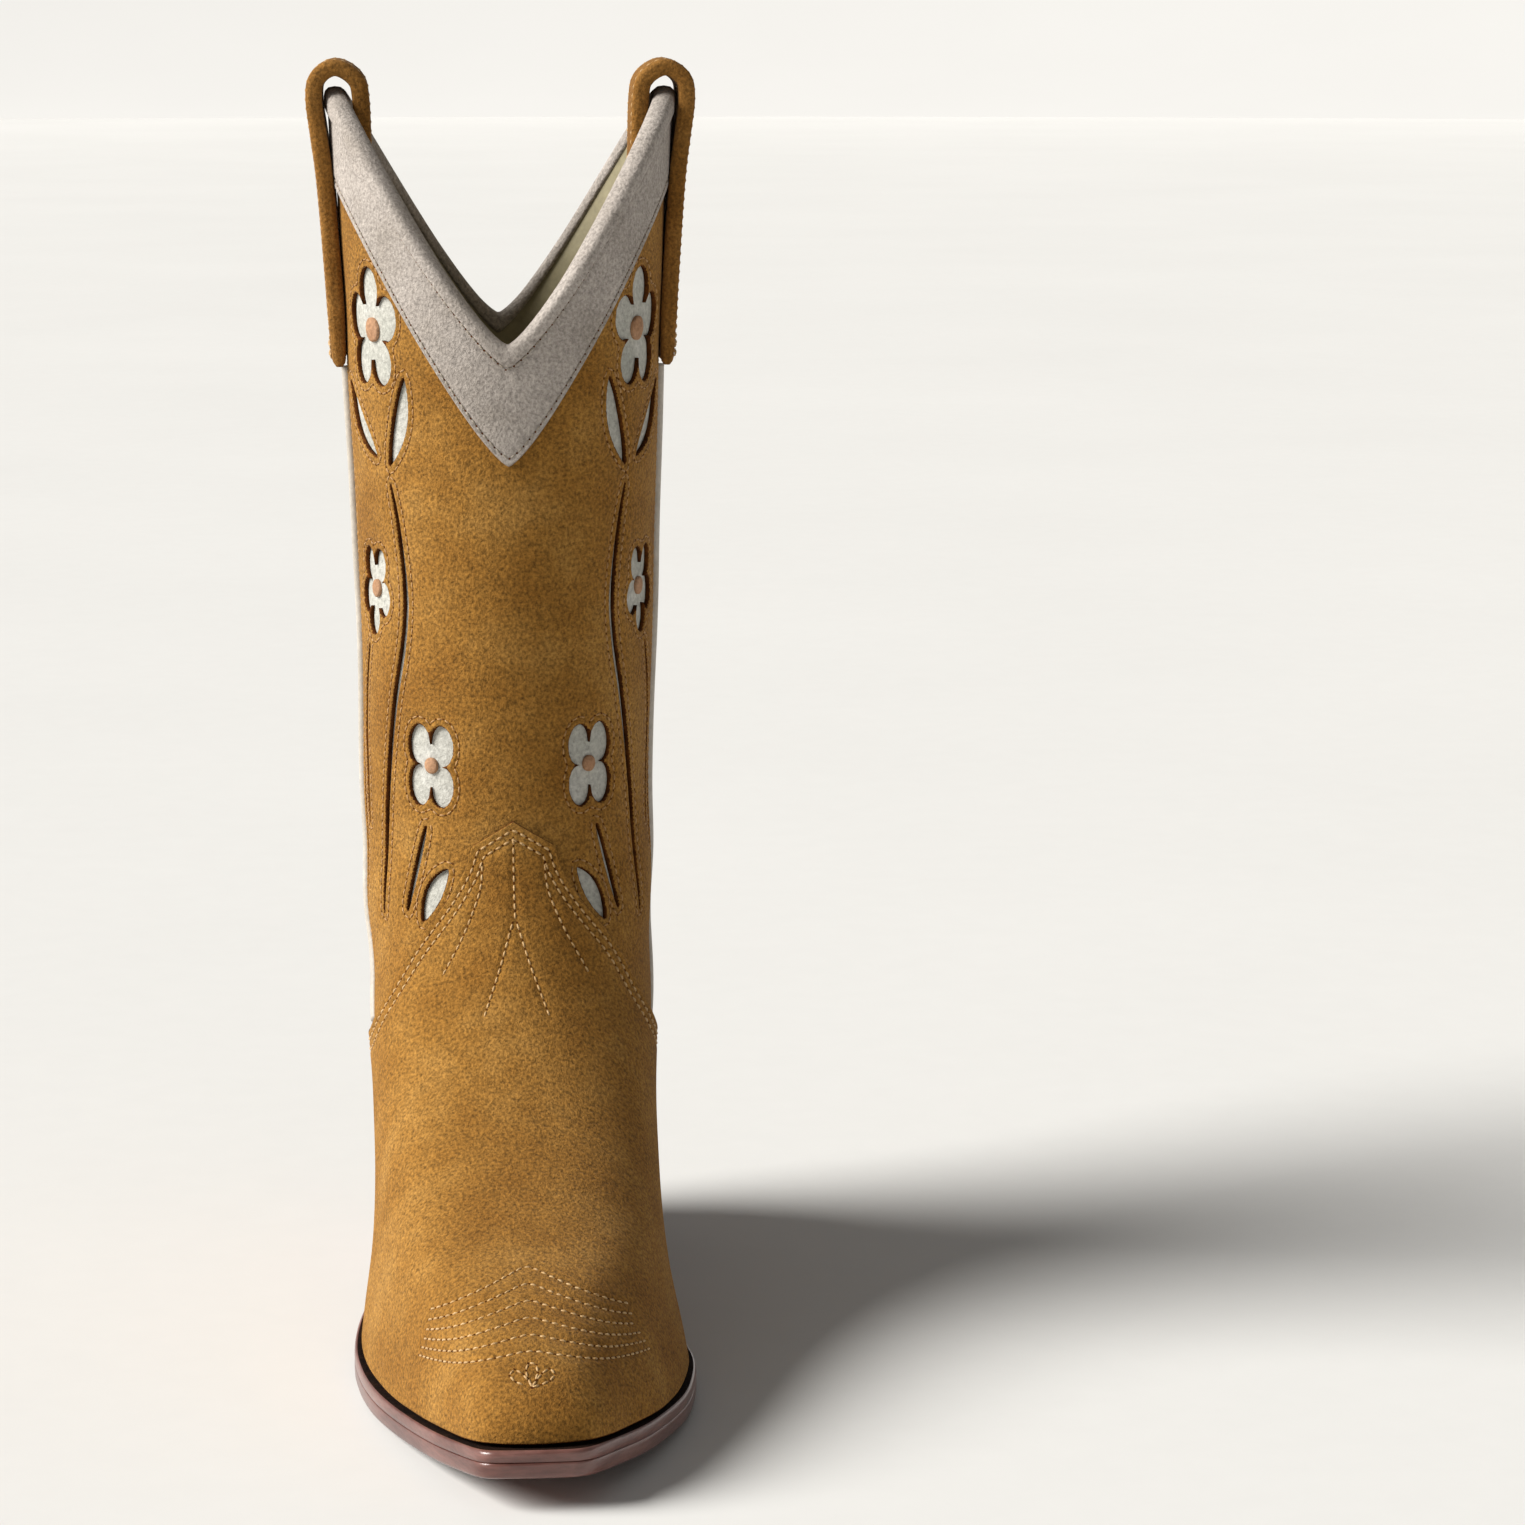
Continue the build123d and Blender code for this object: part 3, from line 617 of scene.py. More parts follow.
def ribbon(path, width, power=0.35):
    """Closed outline of a band round a path, drawn to a point at both ends."""
    along = heading(path)
    across = np.column_stack([-along[:, 1], along[:, 0]])
    t = np.linspace(0, 1, len(path))
    half = (width / 2 * np.sin(np.pi * t) ** power)[:, None]
    left, right = path + across * half, path - across * half
    return np.vstack([left, right[-2:0:-1]])


def widened(outline, distance):
    """A closed path outside an outline, at an even distance."""
    area = np.sum(outline[:, 0] * np.roll(outline[:, 1], -1) - np.roll(outline[:, 0], -1) * outline[:, 1])
    even = resample(looped(outline), 0.5)[:-1]
    along = unit(np.roll(even, -1, 0) - np.roll(even, 1, 0))
    normal = np.column_stack([along[:, 1], -along[:, 0]]) * (1 if area > 0 else -1)
    moved = even + normal * distance
    gap = np.sqrt(((moved[:, None, :] - even[None, :, :]) ** 2).sum(-1)).min(1)
    return resample(looped(moved[gap > 0.94 * distance]), 0.6)


VINE = [(49, 252), (45, 238), (42, 220), (43, 205), (47, 188), (51, 168), (54, 146), (56, 122)]
SIDE_VINE = [(66, 202), (70, 190), (72, 176), (70, 160), (69, 146)]
STEM = [(33, 151), (37, 140), (42, 125)]
HOOK = [(78, 172), (75, 152), (76, 130), (79, 112)]
WINDOWS = [
    flower((57, 297), 27, 37, 5, 0.52, 0),
    flower((62, 219), 20, 28, 5, 0.5, 180),
    flower((31, 169), 20, 29, 4, 0.56, 45),
    leaf((78, 281), (56, 259), 7.0, 0.05),
    leaf((40, 284), (49, 257), 7.0, -0.05),
    leaf((24, 139), (35, 123), 6.5, 0.04),
    ribbon(curve(VINE), 2.6),
    ribbon(curve(SIDE_VINE), 2.3),
    ribbon(curve(STEM), 2.2),
    ribbon(curve(HOOK), 2.0),
]
DISCS = [((57, 297), 3.6), ((62, 219), 2.7), ((31, 169), 2.4)]
SEAM_ROWS = [[(86.3, 100), (86.3, 335)], [(83.4, 108), (82.6, 200), (83.0, 275)]]
OUTLINE_GAP = 2.3
MERGE_DISTANCE = 1e-5


def mirrored(path, sign, rear):
    """A path of the front's right half, carried to one half of the front or of the back."""
    angle = path[:, 0]
    if rear:
        angle = 180 - angle
    moved = np.column_stack([angle * sign, path[:, 1]])
    if rear and sign < 0:
        moved[:, 0] += 360
    return moved


def motif(rear):
    """The windows, the stitch paths and the discs of one panel."""
    signs = (1, -1)
    paths = [widened(window, OUTLINE_GAP) for window in WINDOWS]
    paths += [resample(row, 0.7) for row in SEAM_ROWS]
    windows = [mirrored(window, sign, rear) for sign in signs for window in WINDOWS]
    stitched = [mirrored(path, sign, rear) for sign in signs for path in paths]
    centres = [mirrored(np.array([centre], float), sign, rear)[0] for sign in signs for centre, _ in DISCS]
    sizes = [size for _, size in DISCS] * len(signs)
    return windows, stitched, list(zip(centres, sizes))


def inside(points, outline):
    """Which points lie in a closed outline."""
    x, y = points[:, 0], points[:, 1]
    found = np.zeros(len(points), bool)
    for (x1, y1), (x2, y2) in zip(outline, np.roll(outline, -1, 0)):
        if y1 == y2:
            continue
        crosses = (y1 > y) != (y2 > y)
        found ^= crosses & (x < (x2 - x1) * (y - y1) / (y2 - y1) + x1)
    return found


def panel_outline(first, last, hem_line):
    """A shaft panel's own outline, by angle and height, from its hem round to the top line and back."""
    across = np.arange(first, last + 0.5, 1.2)
    heights = np.arange(2, 400, 1.6)
    lower = np.column_stack([across, hem_line(across)])
    upper = np.column_stack([across, top_line(across)])[::-1]
    right = [(last, z) for z in heights if hem_line(last) + 0.8 < z < top_line(last) - 0.8]
    left = [(first, z) for z in heights[::-1] if hem_line(first) + 0.8 < z < top_line(first) - 0.8]
    return np.vstack([lower, right, upper, left])


def panel_points(first, last, outer, windows, paths, edge_samples):
    """Points inside a panel: denser round its windows and along its stitch paths, then an even fill."""
    rings = [widened(window, distance)[::2] for window in windows for distance in (0.4, 0.95)]
    lines = np.vstack([widened_line(path, distance) for path in paths for distance in (0, 0.9, -0.9)])
    mesh_x, mesh_y = np.meshgrid(np.arange(first + 1, last, 1.7), np.arange(70, 372, 1.6))
    mesh_x = mesh_x + 0.85 * (np.arange(len(mesh_x)) % 2)[:, None]
    fill = np.column_stack([mesh_x.ravel(), mesh_y.ravel()])
    fill = fill[nearest_flat(fill, lines) > 0.8]
    extra = np.vstack([*rings, lines, fill])
    extra = extra[nearest_flat(extra, edge_samples) > 0.33]
    return extra[in_cloth(extra, outer, windows)]


def in_cloth(points, outer, windows):
    """Which points are inside a panel and outside all its windows."""
    kept = inside(points, outer)
    for window in windows:
        kept &= ~inside(points, window)
    return kept


def triangulated(loops, extra):
    """Triangles between the points of some closed loops and points inside them, all facing outward."""
    edges, start = [], 0
    for loop in loops:
        count = len(loop)
        edges += [(start + k, start + (k + 1) % count) for k in range(count)]
        start += count
    result = delaunay_2d_cdt([Vector(p) for p in np.vstack([*loops, extra])], edges, [], 0, MERGE_DISTANCE)
    flat = np.array([tuple(v) for v in result[0]])
    faces = np.array([tuple(face) for face in result[2]])
    faces = faces[in_cloth(flat[faces].mean(1), loops[0], loops[1:])]
    a, b, c = flat[faces[:, 0]], flat[faces[:, 1]], flat[faces[:, 2]]
    turned = (b[:, 0] - a[:, 0]) * (c[:, 1] - a[:, 1]) - (b[:, 1] - a[:, 1]) * (c[:, 0] - a[:, 0]) < 0
    faces[turned] = faces[turned][:, ::-1]
    return flat, faces


def cut_panel(name, rear, hem):
    """A shaft panel with its windows cut through, and the places of its stitches."""
    windows, paths, discs = motif(rear)
    first, last = (91.4, 268.6) if rear else (-88.6, 88.6)
    outer = panel_outline(first, last, lambda angle: hem(angle) - HEM_DEPTH)
    loops = [outer, *windows]
    edge_samples = np.vstack([resample(looped(loop), 0.35) for loop in loops])
    flat, faces = triangulated(loops, panel_points(first, last, outer, windows, paths, edge_samples))
    share = share_at(flat[:, 0], flat[:, 1])
    edge = nearest_flat(flat, edge_samples)
    depth = rolled(edge, 1.1, 0.6) + groove(base_point(flat[:, 0], share), base_samples(paths))
    top = layer_point(flat[:, 0], share, SHAFT[1] - depth)
    bottom = layer_point(flat[:, 0], share, np.full(len(flat), SHAFT[0]))
    panel = thick_piece(name, top, bottom, faces, [SUEDE, RAW_CUT_EDGE_AND_SHADE], edge)
    return panel, paths, discs


def widened_line(path, distance):
    """A path moved sideways by a distance."""
    along = heading(path)
    return path + np.column_stack([along[:, 1], -along[:, 0]]) * distance


def nearest_flat(points, samples):
    flat = np.column_stack([points, np.zeros(len(points))])
    return nearest(flat, np.column_stack([samples, np.zeros(len(samples))]))


def flower_discs(name, discs):
    """Small domed rounds sewn on the middle of each flower."""
    points, faces = [], []
    for (angle, height), radius in discs:
        first = len(points)
        turns = np.radians(np.arange(0, 360, 15))
        for reach, rise in ((1.0, -1.5), (1.0, -0.75), (0.82, -0.45), (0.0, -0.3)):
            angles = angle + radius * reach * DEGREES_PER_MM * np.cos(turns)
            heights = height + radius * reach * np.sin(turns)
            points.extend(layer_point(angles, share_at(angles, heights), np.full(len(turns), rise)))
        count = len(turns)
        faces += [[int(v) + first for v in face] for face in grid_faces(4, count, wrap=True)]
    return mesh_piece(name, points, faces, [DISC])


def fixed(value):
    return lambda at: np.full(np.shape(at), float(value))


def at_height(line, drop=0.0):
    return lambda angle: share_at(angle, line(angle) - drop)


# ---------- the upper
def build_shaft():
    for side, rear, hem in (("front", False, vamp_line), ("back", True, counter_line)):
        panel, paths, discs = cut_panel(f"{side}_shaft_suede", rear, hem)
        crossing(panel, f"shaft_{side}")
        rows = [surface_row(path, SHAFT[1] - STITCH_SINK) for path in paths]
        crossing(stitches(f"{side}_shaft_stitches", rows, SHAFT_THREAD, radius=0.3))
        crossing(flower_discs(f"{side}_flower_discs", discs))
        first, last = (91.0, 269.0) if rear else (-89.0, 89.0)
        sides = (fixed(first), fixed(last))
        build_collar(side, sides, first, last)
        ends = (fixed(0.42), at_height(collar_line, -6))
        under = sheet(f"{side}_inlay_suede", sides, ends, (175, 190), (110, 100), UNDERLAY, [INLAY],
                      roll=False)
        crossing(under, f"{side}_underlay")
        sides = (fixed(first - 0.9), fixed(last + 0.9))
        ends = (fixed(0.40), at_height(top_line))
        inner = sheet(f"{side}_lining_leather", sides, ends, (178, 230), (110, 110), LINING,
                      [LINING_LEATHER], roll=False)
        crossing(inner, f"{side}_lining")


def build_collar(side, sides, first, last):
    """The pale V of one panel, its two stitch rows and the rolled binding over it."""
    paths = [edge_path(first + 3, last - 3, collar_line, 2.4), edge_path(first, last, top_line, -5.6)]
    ends = (at_height(collar_line), at_height(top_line))
    collar = sheet(f"{side}_collar_suede", sides, ends, (175, 40), (150, 26), COLLAR, [PALE, PALE_CUT_EDGE_AND_SHADE],
                   base_samples(paths))
    riding(collar, "shaft", f"{side}_collar")
    rows = [surface_row(path, COLLAR[1] - STITCH_SINK) for path in paths]
    riding(stitches(f"{side}_collar_stitches", rows, PALE_THREAD, radius=0.3), "shaft")
    roll = binding(f"{side}_binding_roll", first - 0.8, last + 0.8)
    riding(roll, "shaft", f"{side}_top_binding")


def edge_path(first, last, line, rise):
    """A stitch path along an edge line of the upper."""
    angle = np.arange(first, last, 0.7)
    return resample(np.column_stack([angle, line(angle) + rise]), 0.7)


def binding(name, first, last):
    """The rolled edge that wraps the top line: outside distance and drop below the top line."""
    profile = [(1.35, 5.0), (2.0, 4.9), (2.35, 4.4), (2.45, 3.2), (2.4, 1.2), (2.0, -0.3), (0.9, -1.3),
               (-1.0, -1.6), (-2.8, -1.3), (-3.9, -0.4), (-4.3, 1.2), (-4.3, 3.4), (-4.1, 4.4), (-3.5, 4.8)]
    angle = np.linspace(first, last, 190)
    rows = []
    for distance, drop in profile:
        share = share_at(angle, top_line(angle) - drop)
        rows.append(layer_point(angle, share, np.full(len(angle), distance)))
    points = np.vstack(rows)
    return mesh_piece(name, points, grid_faces(len(profile), len(angle)), [PALE])


def build_vamp_and_counter():
    feather = fixed(FEATHER_SHARE)
    vamp_sides = (lambda v: LOWER_SEAM_GAP - lower_seam(v), lambda v: lower_seam(v) - LOWER_SEAM_GAP)
    counter_sides = (lambda v: lower_seam(v) + LOWER_SEAM_GAP, lambda v: 360 - lower_seam(v) - LOWER_SEAM_GAP)
    seam_angle = SEAM_TOP_ANGLE - LOWER_SEAM_GAP - 1.5
    edge_rows = [vamp_edge_row(seam_angle, drop) for drop in (2.2, 4.6)]
    tongue = tongue_rows()
    toe = toe_rows()
    samples = base_samples(edge_rows + tongue) + base_samples(toe, by_height=False)
    vamp = sheet("vamp_suede", vamp_sides, (feather, at_height(vamp_line)), (175, 190), (200, 190), COVER,
                 [SUEDE, RAW_CUT_EDGE_AND_SHADE], samples)
    crossing(vamp, "vamp")
    level = COVER[1] - STITCH_SINK
    rows = [surface_row(path, level) for path in edge_rows + tongue]
    rows += [surface_row(path, level, by_height=False) for path in toe]
    crossing(stitches("vamp_stitches", rows, THREAD))

    counter_rows = [edge_path(98, 262, counter_line, -drop) for drop in (2.2, 4.6)]
    counter = sheet("counter_suede", counter_sides, (feather, at_height(counter_line)), (140, 62), (150, 62),
                    COVER, [SUEDE, RAW_CUT_EDGE_AND_SHADE], base_samples(counter_rows))
    crossing(counter, "counter_cover")
    rows = [surface_row(path, level) for path in counter_rows]
    crossing(stitches("counter_stitches", rows, SHAFT_THREAD))

    vamp_hem, counter_hem = [at_height(line, HEM_DEPTH + 1.5) for line in (vamp_line, counter_line)]
    lining_top = fixed(0.397)
    hidden = [
        ("vamp_interlining", vamp_sides, vamp_hem, INTERLINING, CLOTH, "lining_cloth"),
        ("heel_stiffener", (fixed(121.5), fixed(238.5)), counter_hem, STIFFENER, BOARD, "board"),
        ("vamp_lining", (fixed(-97.9), fixed(97.9)), lining_top, LINING, CLOTH, "lining_cloth"),
        ("heel_lining", (fixed(98.1), fixed(261.9)), lining_top, LINING, CLOTH, "lining_cloth"),
    ]
    for node, sides, top, layer, material, slot in hidden:
        ends = (feather, top)
        piece = sheet(f"{node}_sheet", sides, ends, (170, 90), (70, 40), layer, [material], roll=False)
        crossing(piece, node)


def vamp_edge_row(reach, drop):
    """A stitch path inside the whole top edge of the vamp."""
    angle = np.arange(-reach, reach + 0.1, 0.25)
    edge = np.column_stack([angle, vamp_line(angle)])
    moved = widened_line(resample(edge, 0.6), drop)
    gap = np.sqrt(((moved[:, None, :] - edge[None, ::2, :]) ** 2).sum(-1)).min(1)
    return resample(moved[gap > 0.93 * drop], 0.7)


def tongue_rows():
    """The tongue's middle row, which forks into an upturned V, and the rows beside its edges."""
    middle = curve([(0, 149), (0, 136), (0.2, 124)])
    rows = [middle]
    for side in (1, -1):
        rows.append(curve([(0.8 * side, 124), (5 * side, 112), (11 * side, 98)]))
        rows.append(curve([(10.5 * side, 141), (11.5 * side, 133), (17 * side, 121), (26 * side, 108)]))
    return rows


def toe_rows():
    """Nested arcs over the instep and a small three-petalled sprig at the toe, by angle and share."""
    rows = []
    for k in range(6):
        reach = 43 - 1.2 * k
        angle = np.linspace(-reach, reach, 140)
        peak = 0.152 + 0.0175 * k
        drop = 0.05 + 0.006 * k
        fold = np.sqrt((angle / reach) ** 2 + 0.004)
        rows.append(np.column_stack([angle, peak - drop * (fold - 0.06)]))
    t = np.linspace(0, 2 * np.pi, 50)
    for turn in (-50, 0, 50):
        bend = math.radians(turn)
        reach = np.sin(t / 2)
        across = 7.5 * reach * np.sin(bend + 0.42 * np.cos(t / 2))
        up = 7.5 * reach * np.cos(bend + 0.42 * np.cos(t / 2))
        rows.append(np.column_stack([across, 0.108 + up * 0.0042]))
    return rows


BEAD_SIDES = 14


def bead(name, angle, share, distance, width, height):
    """A piping bead along a path of the upper, by half its width and half its height."""
    path = layer_point(angle, share, distance)
    up = unit(layer_point(angle, share, distance + 1) - path)
    across = unit(np.cross(heading(path), up))
    turns = np.linspace(0, 2 * np.pi, BEAD_SIDES, endpoint=False)
    rings = [p + width * np.outer(np.cos(turns), a) + height * np.outer(np.sin(turns), u)
             for p, a, u in zip(path, across, up)]
    return mesh_piece(name, np.vstack(rings), capped_faces(len(path), BEAD_SIDES), [PIPING])


def build_pipings():
    for name, side in (("lateral", -1), ("medial", 1)):
        heights = np.arange(85.5, 284.5, 1.0)
        angle = np.full(len(heights), side * SEAM_ANGLE)
        middle = np.full(len(heights), 0.25)
        upper = bead(f"{name}_piping_bead", angle, share_at(angle, heights), middle, 1.3, 1.55)
        crossing(upper, f"{name}_piping")
        part = np.linspace(0, 1, 90)
        share = FEATHER_SHARE + (share_at(side * SEAM_TOP_ANGLE, 83.0) - FEATHER_SHARE) * part
        middle = np.full(len(part), 1.1)
        lower = bead(f"{name}_lower_piping_bead", side * lower_seam(part), share, middle, 1.3, 1.5)
        crossing(lower, f"{name}_lower_piping")


STRAP_STEP = 1.2
STRAP_WRAP = 0.0030  # how much the straps curve round the shaft, per square millimetre across
STRAP_ROW_INSET = 2.9
STRAP_CORNER = [(0.0, 0.25), (0.2, 0.55), (0.6, 0.85), (1.2, 1.0)]  # inset, share of half the thickness


def strap_profile(half, thick):
    """Section of a strap, across and through it, with rounded corners and a dip along its stitch rows."""
    corner = [(half - inset, thick * rise) for inset, rise in STRAP_CORNER]
    flat = [(half - 2.4, thick), (half - STRAP_ROW_INSET, thick - 0.18), (half - 3.4, thick)]
    quarter = [(half - 0.15, 0.0), *corner, *flat, (5.0, thick * 1.03), (0.0, thick * 1.05)]
    upper = quarter + [(-y, t) for y, t in reversed(quarter[:-1])]
    return np.array(upper + [(y, -t) for y, t in reversed(upper[1:-1])])


def strap_rows(side, centre, out, wrap, half, thick):
    """Stitch rows along both edges of a strap and across its foot."""
    rows = []
    normal = np.column_stack([side * out[:, 0], np.zeros(len(out)), out[:, 1]])
    reach = centre + out * (thick - 0.05)
    for y in (STRAP_ROW_INSET - half, half - STRAP_ROW_INSET):
        beside = np.full(len(centre), STRAP_MIDDLE_Y + y)
        path = np.column_stack([side * (reach[:, 0] - wrap * y * y), beside, reach[:, 1]])
        rows.append((path[2:-2], normal[2:-2]))
    for height in (287.5, 290.5):
        place = np.interp(height, centre[:20, 1], centre[:20, 0]) + thick * 1.02
        y = np.arange(3.5 - half, half - 3.0, 0.8)
        path = [side * (place - STRAP_WRAP * y * y), STRAP_MIDDLE_Y + y, np.full(len(y), height)]
        rows.append((np.column_stack(path), np.tile([side, 0.0, 0.0], (len(y), 1))))
    return rows


def build_straps():
    """Flat double bands looped over the ears."""
    centre = curve(STRAP_LINE, STRAP_STEP)
    along = heading(centre)
    out = np.column_stack([-along[:, 1], along[:, 0]])  # outward on the outer leg, upward over the top
    out = -out if out[0, 0] < 0 else out
    half, thick = STRAP_WIDTH / 2, STRAP_THICKNESS / 2
    wrap = STRAP_WRAP * (1 - smoothstep(345, 372, centre[:, 1])) * (out[:, 0] > 0)
    run = np.arange(len(centre)) * STRAP_STEP
    # Both ends are pressed thin, and the sewn foot is thinner again.
    shrink = 1 - 0.5 * np.maximum(0.0, 1 - np.minimum(run, run[::-1]) / 2.4) ** 2
    shrink = shrink * (1 - 0.22 * np.maximum(0.0, 1 - run / 16))
    y, t = strap_profile(half, thick).T
    for name, side in (("lateral", -1), ("medial", 1)):
        rings = [np.column_stack([side * (middle[0] + normal[0] * t * thin - bend * y * y),
                                  STRAP_MIDDLE_Y + y * (0.9 + 0.1 * thin),
                                  middle[1] + normal[1] * t * thin])
                 for middle, normal, thin, bend in zip(centre, out, shrink, wrap)]
        faces = capped_faces(len(rings), len(y))
        faces = flipped(faces) if side < 0 else faces
        strap = mesh_piece(f"{name}_strap_band", np.vstack(rings), faces, [STRAP_SUEDE])
        riding(strap, f"{name}_strap", f"{name}_pull_strap")
        rows = strap_rows(side, centre, out, wrap, half, thick)
        riding(stitches(f"{name}_strap_stitches", rows, THREAD), f"{name}_strap")


# ---------- the sole
def plan_outline(margin, count=620):
    """The sole's outline in plan, brought in by a margin, starting at the outer toe corner."""
    tip = SOLE_LENGTH - margin
    outer = [(min(f, tip), margin - w) for f, w in OUTER_SIDE if f <= tip or f == SOLE_LENGTH]
    inner = [(min(f, tip), w - margin) for f, w in INNER_SIDE if f <= tip or f == SOLE_LENGTH]
    radius = HEEL_HALF_WIDTH - margin
    turns = np.radians(np.arange(15, 180, 15))
    arc = [(radius + margin - radius * math.sin(t), -radius * math.cos(t)) for t in turns]
    side = curve([*outer, *arc, *reversed(inner)], 0.5)
    ends = [np.array(p) for p in (side[-1], side[0])]
    toe = curve([ends[0], ends[0] * 0.5 + ends[1] * 0.5 + (0.5, 0), ends[1]], 0.5)[1:-1]
    loop = np.vstack([side, toe])
    for _ in range(50):  # rounds the two toe corners
        loop = (np.roll(loop, 1, 0) + loop * 2 + np.roll(loop, -1, 0)) / 4
    start = int(np.argmin(abs(loop[:, 0] - 60) + 200 * (loop[:, 1] > 0)))
    loop = looped(np.roll(loop, -start, 0))
    run = run_along(loop)
    at = np.linspace(0, run[-1], count + 1)[:-1]
    return np.column_stack([np.interp(at, run, loop[:, k]) for k in range(2)])


INSIDE_INSET = 9.0
EDGE = plan_outline(0.0)
INSIDE_EDGE = plan_outline(INSIDE_INSET)


def edge_inset(inset):
    """The sole's outline in plan, brought in by up to INSIDE_INSET."""
    return EDGE + (INSIDE_EDGE - EDGE) * (inset / INSIDE_INSET)


def over_tread(flat, height):
    """Points in space, from places in plan and their height above the tread."""
    return np.column_stack([flat[:, 1], to_y(flat[:, 0]), tread(flat[:, 0]) + height])


def sole_rows(profile):
    """Rows of points round the sole's edge, one for each inset and height of a profile."""
    return [over_tread(edge_inset(inset), height) for inset, height in profile]


def build_outsole():
    profile = [(1.1, 0.0), (0.55, 0.12), (0.2, 0.45), (0.03, 1.0), (-0.02, 2.2), (0.0, 3.6), (0.06, 4.25),
               (0.2, 4.45), (0.6, OUTSOLE_THICKNESS), (8.8, OUTSOLE_THICKNESS)]
    rows = sole_rows(profile)
    faces = flipped(grid_faces(len(rows), len(EDGE), wrap=True))
    side = mesh_piece("outsole_edge_leather", np.vstack(rows), faces, [SOLE_EDGE])
    riding(side, "foot")
    riding(tread_piece(), "foot", "outsole")
    riding(channel_thread(), "foot", "outsole_stitch_row")


def tread_piece():
    """The sole's lower face, with the stitch channel sunk round its forepart and a slightly hollow middle."""
    start, end = CHANNEL_INSET[0] - 0.15, CHANNEL_INSET[1] + 0.15
    loops = [edge_inset(inset) for inset in (1.1, 2.4, start, start + 0.25, end - 0.25, end, 7.5)]
    mesh_f, mesh_x = np.meshgrid(np.arange(2, 288, 3.2), np.arange(-50, 51, 3.2))
    fill = np.column_stack([mesh_f.ravel(), mesh_x.ravel()])
    fill = fill[inside(fill, loops[-1])]
    fill = fill[nearest_flat(fill, loops[-1]) > 1.2]
    points = [Vector(p) for p in np.vstack([*loops, fill])]
    edges = [(k, (k + 1) % len(EDGE)) for k in range(len(EDGE))]
    result = delaunay_2d_cdt(points, edges, [], 1, MERGE_DISTANCE)
    flat = np.array([tuple(v) for v in result[0]])
    faces = [tuple(face) for face in result[2]]
    inset = nearest_flat(flat, resample(looped(EDGE), 0.3))
    depth = 0.85 * smoothstep(start, start + 0.25, inset) * (1 - smoothstep(end - 0.25, end, inset))
    depth = depth * smoothstep(CHANNEL_END - 3, CHANNEL_END + 2, flat[:, 0])
    hollow = 0.25 * smoothstep(8, 30, inset) * smoothstep(150, 190, flat[:, 0])
    lower = over_tread(flat, depth + hollow)
    return mesh_piece("outsole_tread_leather", lower, faces_down(lower, faces), [SOLE])


def channel_thread():
    """The dark stitches in the channel, from one end of the forepart round to the other."""
    middle = edge_inset(sum(CHANNEL_INSET) / 2)
    start = int(np.argmin(abs(middle[:, 0] - 100) + 200 * (middle[:, 1] > 0)))
    loop = np.roll(middle, -start, 0)
    path = over_tread(loop[loop[:, 0] > CHANNEL_END + 2], 0.55)
    rows = [(path, np.tile([0.0, 0.0, -1.0], (len(path), 1)))]
    return stitches("channel_stitches", rows, DARK_THREAD, length=3.6, pitch=4.1, radius=0.5)


def faces_down(points, faces):
    """The same faces, all turned to look down."""
    turned = []
    for face in faces:
        a, b, c = points[face[0]], points[face[1]], points[face[2]]
        up = (b[0] - a[0]) * (c[1] - a[1]) - (b[1] - a[1]) * (c[0] - a[0]) > 0
        turned.append(face[::-1] if up else face)
    return turned


def build_welt():
    profile = [(8.9, 4.55), (0.6, 4.53), (0.2, 4.6), (0.04, 4.85), (0.0, 5.9), (0.06, 6.9), (0.3, 7.6),
               (0.8, 7.93), (1.5, WELT_TOP), (3.5, 7.85), (8.9, 7.8)]
    rows = np.stack(sole_rows(profile))
    forward = EDGE[:, 0]
    for name, node, columns in (
        ("welt_leather_strip", "welt", forward > WELT_START),
        ("heel_rand_strip", "heel_seat_rand", forward <= WELT_START),
    ):
        at = np.flatnonzero(columns)
        breaks = np.flatnonzero(np.diff(at) > 1)
        if len(breaks):
            at = np.concatenate([at[breaks[0] + 1:], at[: breaks[0] + 1]])
        part = rows[:, at].reshape(-1, 3)
        faces = flipped(grid_faces(len(profile), len(at)))
        # the welt's top faces, under the upper's edge, take the near-black painted shade of that crease
        slots = [1 if k // (len(at) - 1) >= 7 else 0 for k in range(len(faces))]
        strip = mesh_piece(name, part, faces, [SOLE_EDGE, WELT_CREASE_SHADE], slots)
        riding(strip, "foot", node)


def build_pegs():
    """Domed peg ends that show on the waist of the sole."""
    points, faces = [], []
    turns = np.radians(np.arange(0, 360, 20))
    for forward, side in PEGS:
        first = len(points)
        for reach, rise in ((1.0, 3.0), (1.0, -0.02), (0.85, -0.16), (0.0, -0.24)):
            for turn in turns:
                f = forward + PEG_RADIUS * reach * math.cos(turn)
                x = side + PEG_RADIUS * reach * math.sin(turn)
                points.append((x, to_y(f), float(tread(f)) + rise))
        faces += [[int(v) + first for v in face] for face in grid_faces(4, len(turns), wrap=True)]
    riding(mesh_piece("peg_ends", points, faces, [BRASS]), "foot", "shank_pegs")


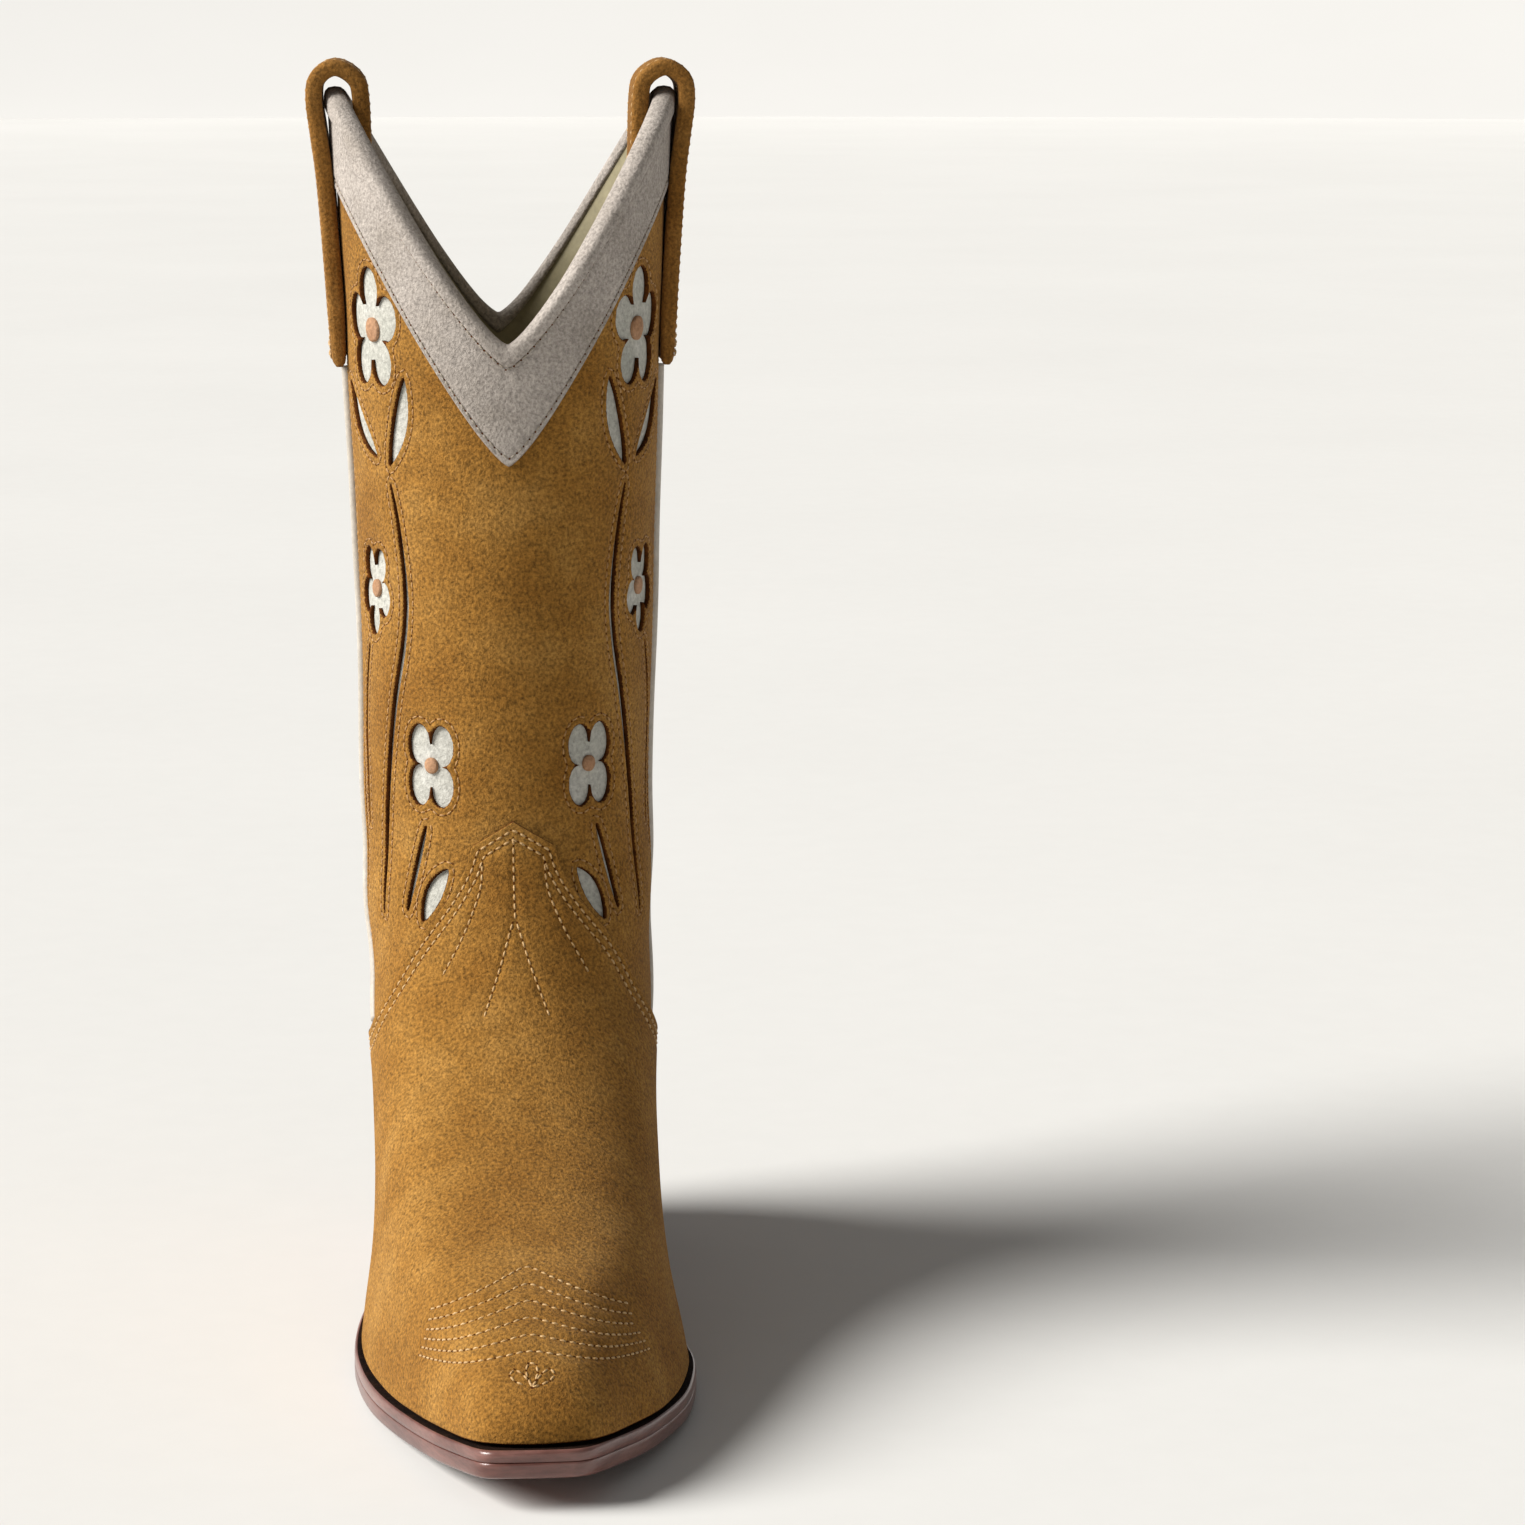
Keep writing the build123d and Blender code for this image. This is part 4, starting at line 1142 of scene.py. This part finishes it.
def dress_kept_nodes():
    """The heel and the hidden inner pieces keep their CAD shape and take procedural materials."""
    looks = {
        "heel_cap": RUBBER, "heel_breast_cover": BREAST, "heel_cap_nails": BRASS,
        "heel_attaching_nails": STEEL, "shank_spring": STEEL, "shank_cover": BOARD,
        "forepart_filler": CORK, "insole": BOARD, "sock_liner": SOCK, "toe_box": BOARD,
    }
    looks.update({f"heel_lift_{k}": STACK for k in range(1, 5)})
    for node, material in looks.items():
        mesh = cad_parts[node].data
        mesh.materials.clear()
        mesh.materials.append(material)


# ---------- stage, light and camera
CAMERA_DISTANCE, CAMERA_HEIGHT = 1323.0, 404.0  # from the shaft's middle, and above the floor
CAMERA_PITCH, CAMERA_YAW, CAMERA_SIDE = 10.47, 4.7, 79.4
SHAFT_MIDDLE_Y = 84.6
SENSOR_WIDTH, FOCAL_PER_WIDTH = 36.0, 2.835
FLOOR_GAP = 0.2
BACKDROP_REACH, BACKDROP_BEND, BACKDROP_TOP, BACKDROP_GLOW = 10500.0, 1500.0, 2000.0, 0.8
SKY_STRENGTH, KEY_STRENGTH, KEY_SIZE = 0.17, 6.1, 0.6
KEY_TURN = (55, 0, -84)


def build_stage():
    """A pale floor, a low round backdrop that glows softly, an even sky and one sun from the left."""
    bend = np.radians(np.arange(0, 90.1, 7.5))
    sweep = [(BACKDROP_REACH + BACKDROP_BEND * math.sin(t), BACKDROP_BEND * (1 - math.cos(t))) for t in bend]
    sweep.append((BACKDROP_REACH + BACKDROP_BEND, BACKDROP_TOP))
    paint = surface("floor_paint", [(241, 240, 237), (244, 243, 240)], 2, 60, 0.01, 0.01, 0.9, specular=0.1)
    glow = surface("backdrop_paint", [(90, 90, 88), (94, 94, 92)], 2, 60, 0.01, 0.01, 0.9, specular=0.1)
    shader = glow.node_tree.nodes["Principled BSDF"]
    put(shader, Emission_Color=(1.0, 0.975, 0.93, 1), Emission_Strength=BACKDROP_GLOW)
    turns = np.radians(np.arange(0, 360, 5))
    x, y = np.cos(turns), np.sin(turns)
    disc = [(1.0, 0.0), (BACKDROP_REACH, 0.0)]
    for name, profile, material in (("floor", disc, paint), ("backdrop", sweep, glow)):
        rings = [np.column_stack([r * x, r * y, np.full(len(turns), z)]) for r, z in profile]
        faces = [list(face) for face in grid_faces(len(profile), len(turns), wrap=True)]
        if name == "floor":
            faces.append(range(len(turns))[::-1])
        piece = mesh_piece(name, np.vstack(rings), faces, [material])
        piece.location.z = -FLOOR_GAP * MM
    world = bpy.data.worlds.new("soft_studio")
    bpy.context.scene.world = world
    world.use_nodes = True
    put(world.node_tree.nodes["Background"], Color=(1.0, 0.99, 0.975, 1), Strength=SKY_STRENGTH)
    lamp = bpy.data.lights.new("key", "SUN")
    lamp.energy = KEY_STRENGTH
    lamp.angle = KEY_SIZE
    lamp.color = (1.0, 0.985, 0.955)
    key = bpy.data.objects.new("key", lamp)
    key.rotation_euler = [math.radians(a) for a in KEY_TURN]
    bpy.context.scene.collection.objects.link(key)
    bpy.context.scene.view_settings.view_transform = "Standard"


def build_camera():
    data = bpy.data.cameras.new("camera")
    data.sensor_width = SENSOR_WIDTH
    data.lens = SENSOR_WIDTH * FOCAL_PER_WIDTH
    camera = bpy.data.objects.new("camera", data)
    yaw = math.radians(CAMERA_YAW)
    # The camera stands in front of the toe and looks past the boot, which is left of its middle.
    back = np.array([-math.sin(yaw), -math.cos(yaw)]) * CAMERA_DISTANCE
    side = np.array([math.cos(yaw), -math.sin(yaw)]) * CAMERA_SIDE
    place = np.array([0.0, SHAFT_MIDDLE_Y]) + back + side
    camera.location = (place[0] * MM, place[1] * MM, CAMERA_HEIGHT * MM)
    camera.rotation_euler = (math.radians(90 - CAMERA_PITCH), 0, -yaw)
    data.clip_end = 100
    bpy.context.scene.collection.objects.link(camera)
    bpy.context.scene.camera = camera


build_shaft()
build_vamp_and_counter()
build_pipings()
build_straps()
build_outsole()
build_welt()
build_pegs()
dress_kept_nodes()
build_stage()
build_camera()
